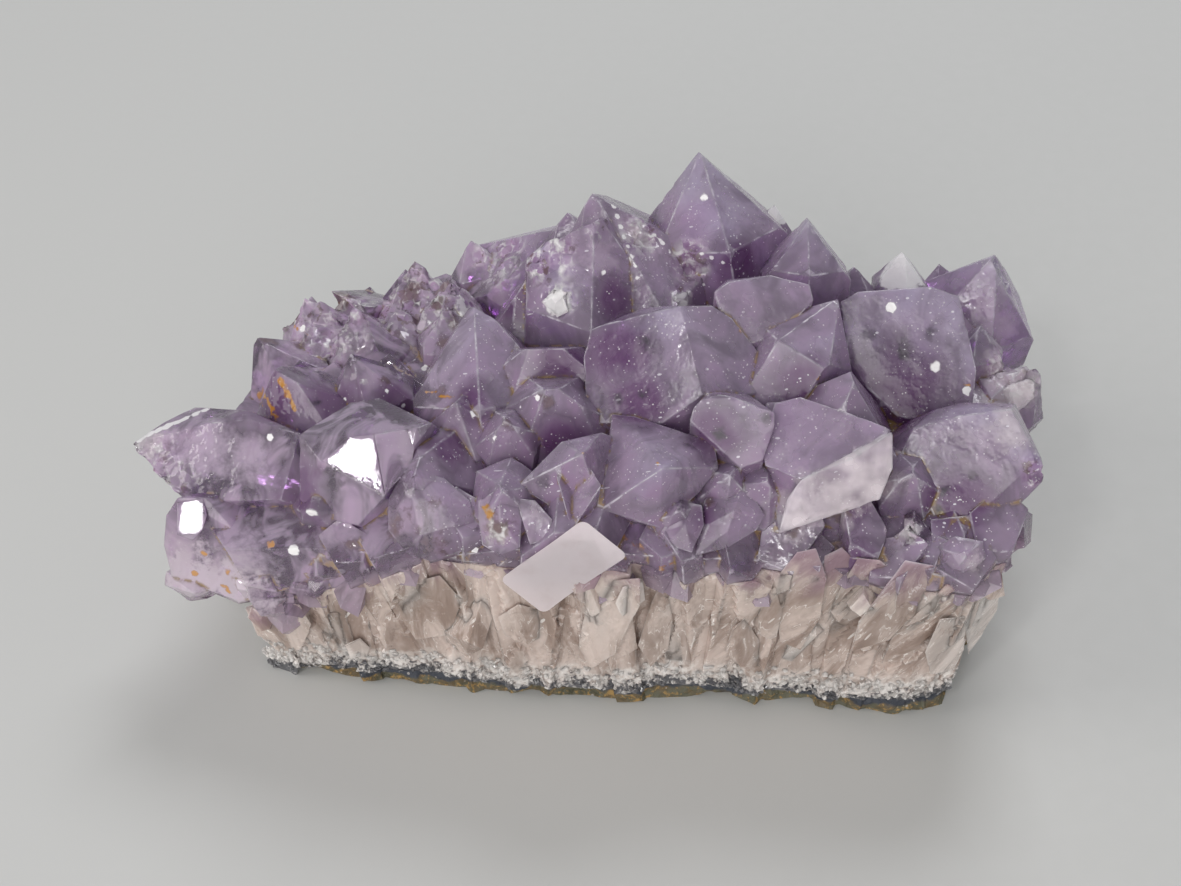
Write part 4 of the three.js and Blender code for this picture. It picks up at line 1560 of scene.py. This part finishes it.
@dataclass
class MilkyWall:
    """The milky quartz, with the broken shards of its columns."""

    finder: Finder
    label: PaperLabel
    node: str = "milky_quartz_base"
    pitch: float = 0.55 * MM
    top_pitch: float = 2 * MM
    wear: float = 0.12 * MM
    sink: float = 0.6 * MM  # how far it goes down into the rind
    shards: int = 110
    grains: int = 4400
    broad: float = 0.7  # mm that its splinters stand out
    fine: float = 0.15  # mm that the chips on them stand out
    grain_zone: float = 8 * MM  # above the underside
    grain_fade: float = 7 * MM  # where the last grains lie above the foot
    inward: float = 1.5  # mm from the wall's face to where its foot is looked for
    seed: int = 5
    piece: bpy.types.Object | None = None

    def build(self) -> None:
        """Makes the wall's mesh."""
        roof = WALL_BOX[1].z - 3 * MM
        source = FacetMesh(
            self.node, self.pitch, self.wear,
            lambda place: self.top_pitch if place.z > roof else self.pitch,
        )
        mesh = source.build(self.finder, WALL_PIECES)
        layer = mesh.verts.layers.float[Field.SHADE.value]
        plain = np.array([vertex[layer] == 0 for vertex in mesh.verts])
        points, normals = places_of(mesh), normals_of(mesh)
        side = np.clip(1.6 - 2 * np.abs(normals[:, 2]), 0, 1) * (0.3 + 0.7 * plain)
        columns = fanned(points)
        broad = Relief.facets(columns * (1, 1, 0.3), 4.5 * MM, 21)
        fine = Relief.facets(columns * (1, 1, 0.5), 1.8 * MM, 22)
        for vertex, lump, own in zip(mesh.verts, 0.7 * broad + 0.3 * fine, plain, strict=True):
            if own:
                vertex[layer] = 0.3 + 0.3 * lump
        proud = self.broad * broad + self.fine * fine - 0.1
        points = points + normals * (MM * proud * side)[:, None]
        under = (normals[:, 2] < LOOKS_DOWN) & (points[:, 2] < WALL_BOX[0].z + 4 * MM)
        points[under, 2] -= self.sink
        move_points(mesh, points)
        self.break_up(mesh)
        points = places_of(mesh)
        move_points(mesh, points)
        fields = {
            Field.PURPLE: points[:, 2] - purple_floor(points),
            Field.STAIN: self.finder.depth(points, STAINS),
            Field.FOOT: self.foot_heights(points),
            Field.COLUMN: fanned(points),
        }
        self.piece = to_object(mesh, "milky_quartz_wall", fields)

    def foot_heights(self, points: np.ndarray) -> np.ndarray:
        """Returns how far each point stands above the top of the rind."""
        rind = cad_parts["rock_rind"].data
        tops = [v.co for v in rind.vertices if v.co.z > 1 * MM]
        tree = tree_of([(top.x, top.y, 0) for top in tops])
        nearest = [tree.find((p[0], p[1], 0))[1] for p in points]
        return points[:, 2] - np.array([tops[k].z for k in nearest])

    def break_up(self, mesh: BMesh) -> None:
        """Adds shards all over the wall and grains along its foot."""
        draws = np.random.default_rng(self.seed)
        walls = [f for f in mesh.faces if abs(f.normal.z) < 0.75]
        heights = np.array([f.calc_center_median().z for f in walls])
        spots = pick_places(walls, np.ones(len(walls)), self.shards, draws)
        feet = pick_places(walls, heights < self.grain_zone, self.grains, draws)
        solid = BVHTree.FromBMesh(mesh)
        for place, normal in spots:
            self.add_column(mesh, solid, place, normal, draws)
        for place, normal in feet:
            self.add_grain(mesh, solid, place, normal, draws)

    def add_column(
        self, mesh: BMesh, solid: BVHTree, place: Vector, normal: Vector, draws: Draws
    ) -> None:
        """Adds a shard whose axis fans out with the columns."""
        up = (UP - normal * normal.z).normalized()
        side = UP.cross(normal).normalized()
        fan = place.x * fan_rate(place.x) + draws.normal(0, 0.15)
        axis = (up + side * side.x * fan).normalized()
        radius = draws.uniform(1.2, 3.4) * MM
        half = radius * draws.uniform(1.6, 2.8)
        centre = place - normal * radius * draws.uniform(0.75, 0.95)
        foot = floor_under(solid, place - normal * self.inward * MM)
        if normal.y < -0.6 and draws.uniform() < 0.7:  # the front has shards of its own
            return
        roof = purple_floor(np.array([centre]))[0] - 1 * MM
        room = min(centre.z - foot - 3 * MM, roof - centre.z)
        short = min(half, room / max(0.3, axis.z) - 0.2 * MM)
        if short < 0.6 * radius or self.label.covers(centre, radius + half * 0.5):
            return
        Shard(centre, axis, -normal, radius, short, 0.7 * draws.uniform(0, 1) ** 1.5).add(mesh, draws)

    def add_grain(
        self, mesh: BMesh, solid: BVHTree, place: Vector, normal: Vector, draws: Draws
    ) -> None:
        """Adds a small grain near the foot of the wall."""
        foot = floor_under(solid, place - normal * self.inward * MM)
        radius = draws.uniform(0.2, 0.5) * MM
        height = place.z - foot
        if height < radius * 0.6 or draws.uniform() < height / self.grain_fade:
            return
        axis = Vector(draws.normal(0, 1, 3)).normalized()
        centre = place - normal * radius * draws.uniform(0.1, 0.6)
        Shard(centre, axis, -normal, radius, radius * 1.2, draws.uniform(0.6, 1)).add(mesh, draws)

    def dress(self) -> None:
        """Gives the wall its finish and place."""
        settle(self.piece, self.node, MilkyFinish().build())


def pick_places(
    faces: list[BMFace], weights: np.ndarray, count: int, draws: Draws
) -> list[tuple[Vector, Vector]]:
    """Picks faces at random, large ones more often.

    Args:
        faces: the faces.
        weights: how much each face's area counts.
        count: how many places to pick.
        draws: the stream of random numbers.

    Returns:
        The middle and the normal of each face picked.
    """
    shares = np.array([f.calc_area() for f in faces]) * weights
    picks = draws.choice(len(faces), count, p=shares / shares.sum())
    return [(faces[k].calc_center_median(), faces[k].normal.copy()) for k in picks]


def floor_under(solid: BVHTree, place: Vector) -> float:
    """Returns the height of the solid's underside below a place inside it."""
    hit = solid.ray_cast(place, DOWN)[0]
    return place.z if hit is None else hit.z


@dataclass
class RockRind:
    """The thin rock under the quartz."""

    node: str = "rock_rind"
    pitch: float = 0.6 * MM
    lump: float = 1.3  # mm that its sides go in and out
    roughness: float = 0.5  # mm
    gap: float = 2.4 * MM  # height of the gaps under its edge
    gap_depth: float = 2.8 * MM
    gap_top: float = 2.6 * MM
    piece: bpy.types.Object | None = None

    def build(self) -> None:
        """Makes the rind's mesh, rough on its sides and flat underneath."""
        source = FacetMesh(self.node, self.pitch, 0, plain_below=-2)
        mesh = source.build()
        points, normals = places_of(mesh), normals_of(mesh)
        side = np.clip(1 - np.abs(normals[:, 2]), 0, 1)
        lumps = self.lump * Relief.smooth(points, 3.5 * MM, 4.4)
        lumps = lumps + self.roughness * Relief.smooth(points, 1.1 * MM, 8.8) - 0.3
        flat = normals.copy()
        flat[:, 2] = 0
        edge = np.clip(1 - distance_to(points, source.rims, 3 * MM) / self.gap_depth, 0, 1)
        level = points * (1, 1, 0)
        gaps = np.clip(Relief.smooth(level, 7 * MM, 2.6) + 0.1, 0, 0.7)
        gaps += 0.4 * np.clip(Relief.smooth(level, 2 * MM, 6.1), 0, 1)
        under = np.clip(1 - points[:, 2] / self.gap_top, 0, 1)
        points = points + flat * (MM * lumps * side)[:, None]
        points[:, 2] += self.gap * gaps * edge * under
        move_points(mesh, points)
        self.piece = to_object(mesh, "rind_of_rock", {Field.RISE: points[:, 2]})

    def dress(self) -> None:
        """Gives the rind its finish and place."""
        settle(self.piece, self.node, RockFinish().build())


@dataclass(frozen=True)
class Lamp:
    """A soft round lamp."""

    name: str
    place: tuple[float, float, float]
    size: float
    power: float
    colour: Colour

    def build(self, aim: Vector) -> None:
        """Makes the lamp and turns it to a point."""
        data = bpy.data.lights.new(self.name, "AREA")
        data.shape = "DISK"
        data.size = self.size
        data.energy = self.power
        data.color = self.colour
        lamp = bpy.data.objects.new(self.name, data)
        place = Vector(self.place)
        turn = (place - aim).to_track_quat("Z", "Y").to_matrix().to_4x4()
        lamp.matrix_world = Matrix.Translation(place) @ turn
        bpy.context.scene.collection.objects.link(lamp)


@dataclass
class Studio:
    """A pale floor, soft light and the photograph's camera."""

    camera: PhotoCamera
    floor_size: float = 6.0
    floor_drop: float = 0.02 * MM  # below the block
    bounces: int = 8
    sky: Colour = (0.88, 0.90, 0.92)
    sky_strength: float = 0.34
    lamps: tuple[Lamp, ...] = (
        Lamp("window_behind", (0.20, 0.70, 0.90), 0.50, 5.0, (0.97, 0.98, 1.0)),
        Lamp("window_in_front", (-0.20, -0.95, 0.40), 1.0, 7.0, (1.0, 0.98, 0.95)),
        Lamp("soft_left", (-0.9, -0.1, 0.5), 0.5, 2.4, (1.0, 0.97, 0.93)),
        Lamp("glint_lamp", GLINT_LAMP, 0.08, 0.4, (1.0, 1.0, 1.0)),
    )

    def build(self) -> None:
        """Makes the floor, the lights and the camera."""
        mesh = bmesh.new()
        bmesh.ops.create_grid(mesh, x_segments=8, y_segments=8, size=self.floor_size / 2)
        floor = to_object(mesh, "pale_floor", {})
        floor.location.z = -self.floor_drop
        floor.data.materials.append(FloorFinish().build())
        for lamp in self.lamps:
            lamp.build(self.camera.aim)
        world = bpy.data.worlds.new("soft_sky")
        world.use_nodes = True
        background = world.node_tree.nodes["Background"]
        background.inputs["Color"].default_value = (*self.sky, 1)
        background.inputs["Strength"].default_value = self.sky_strength
        bpy.context.scene.world = world
        bpy.context.scene.view_settings.view_transform = "Standard"
        bpy.context.scene.cycles.max_bounces = self.bounces
        bpy.context.scene.cycles.transmission_bounces = self.bounces
        self.camera.build()


def main() -> None:
    """Builds and dresses every piece, then the studio."""
    logging.basicConfig(level=logging.INFO, format="%(message)s")
    camera = PhotoCamera()
    finder = Finder(camera)
    label = PaperLabel()
    for piece in (AmethystCrown(finder, label), MilkyWall(finder, label), RockRind(), label):
        piece.build()
        piece.dress()
    Studio(camera).build()


if __name__ == "__main__":
    main()
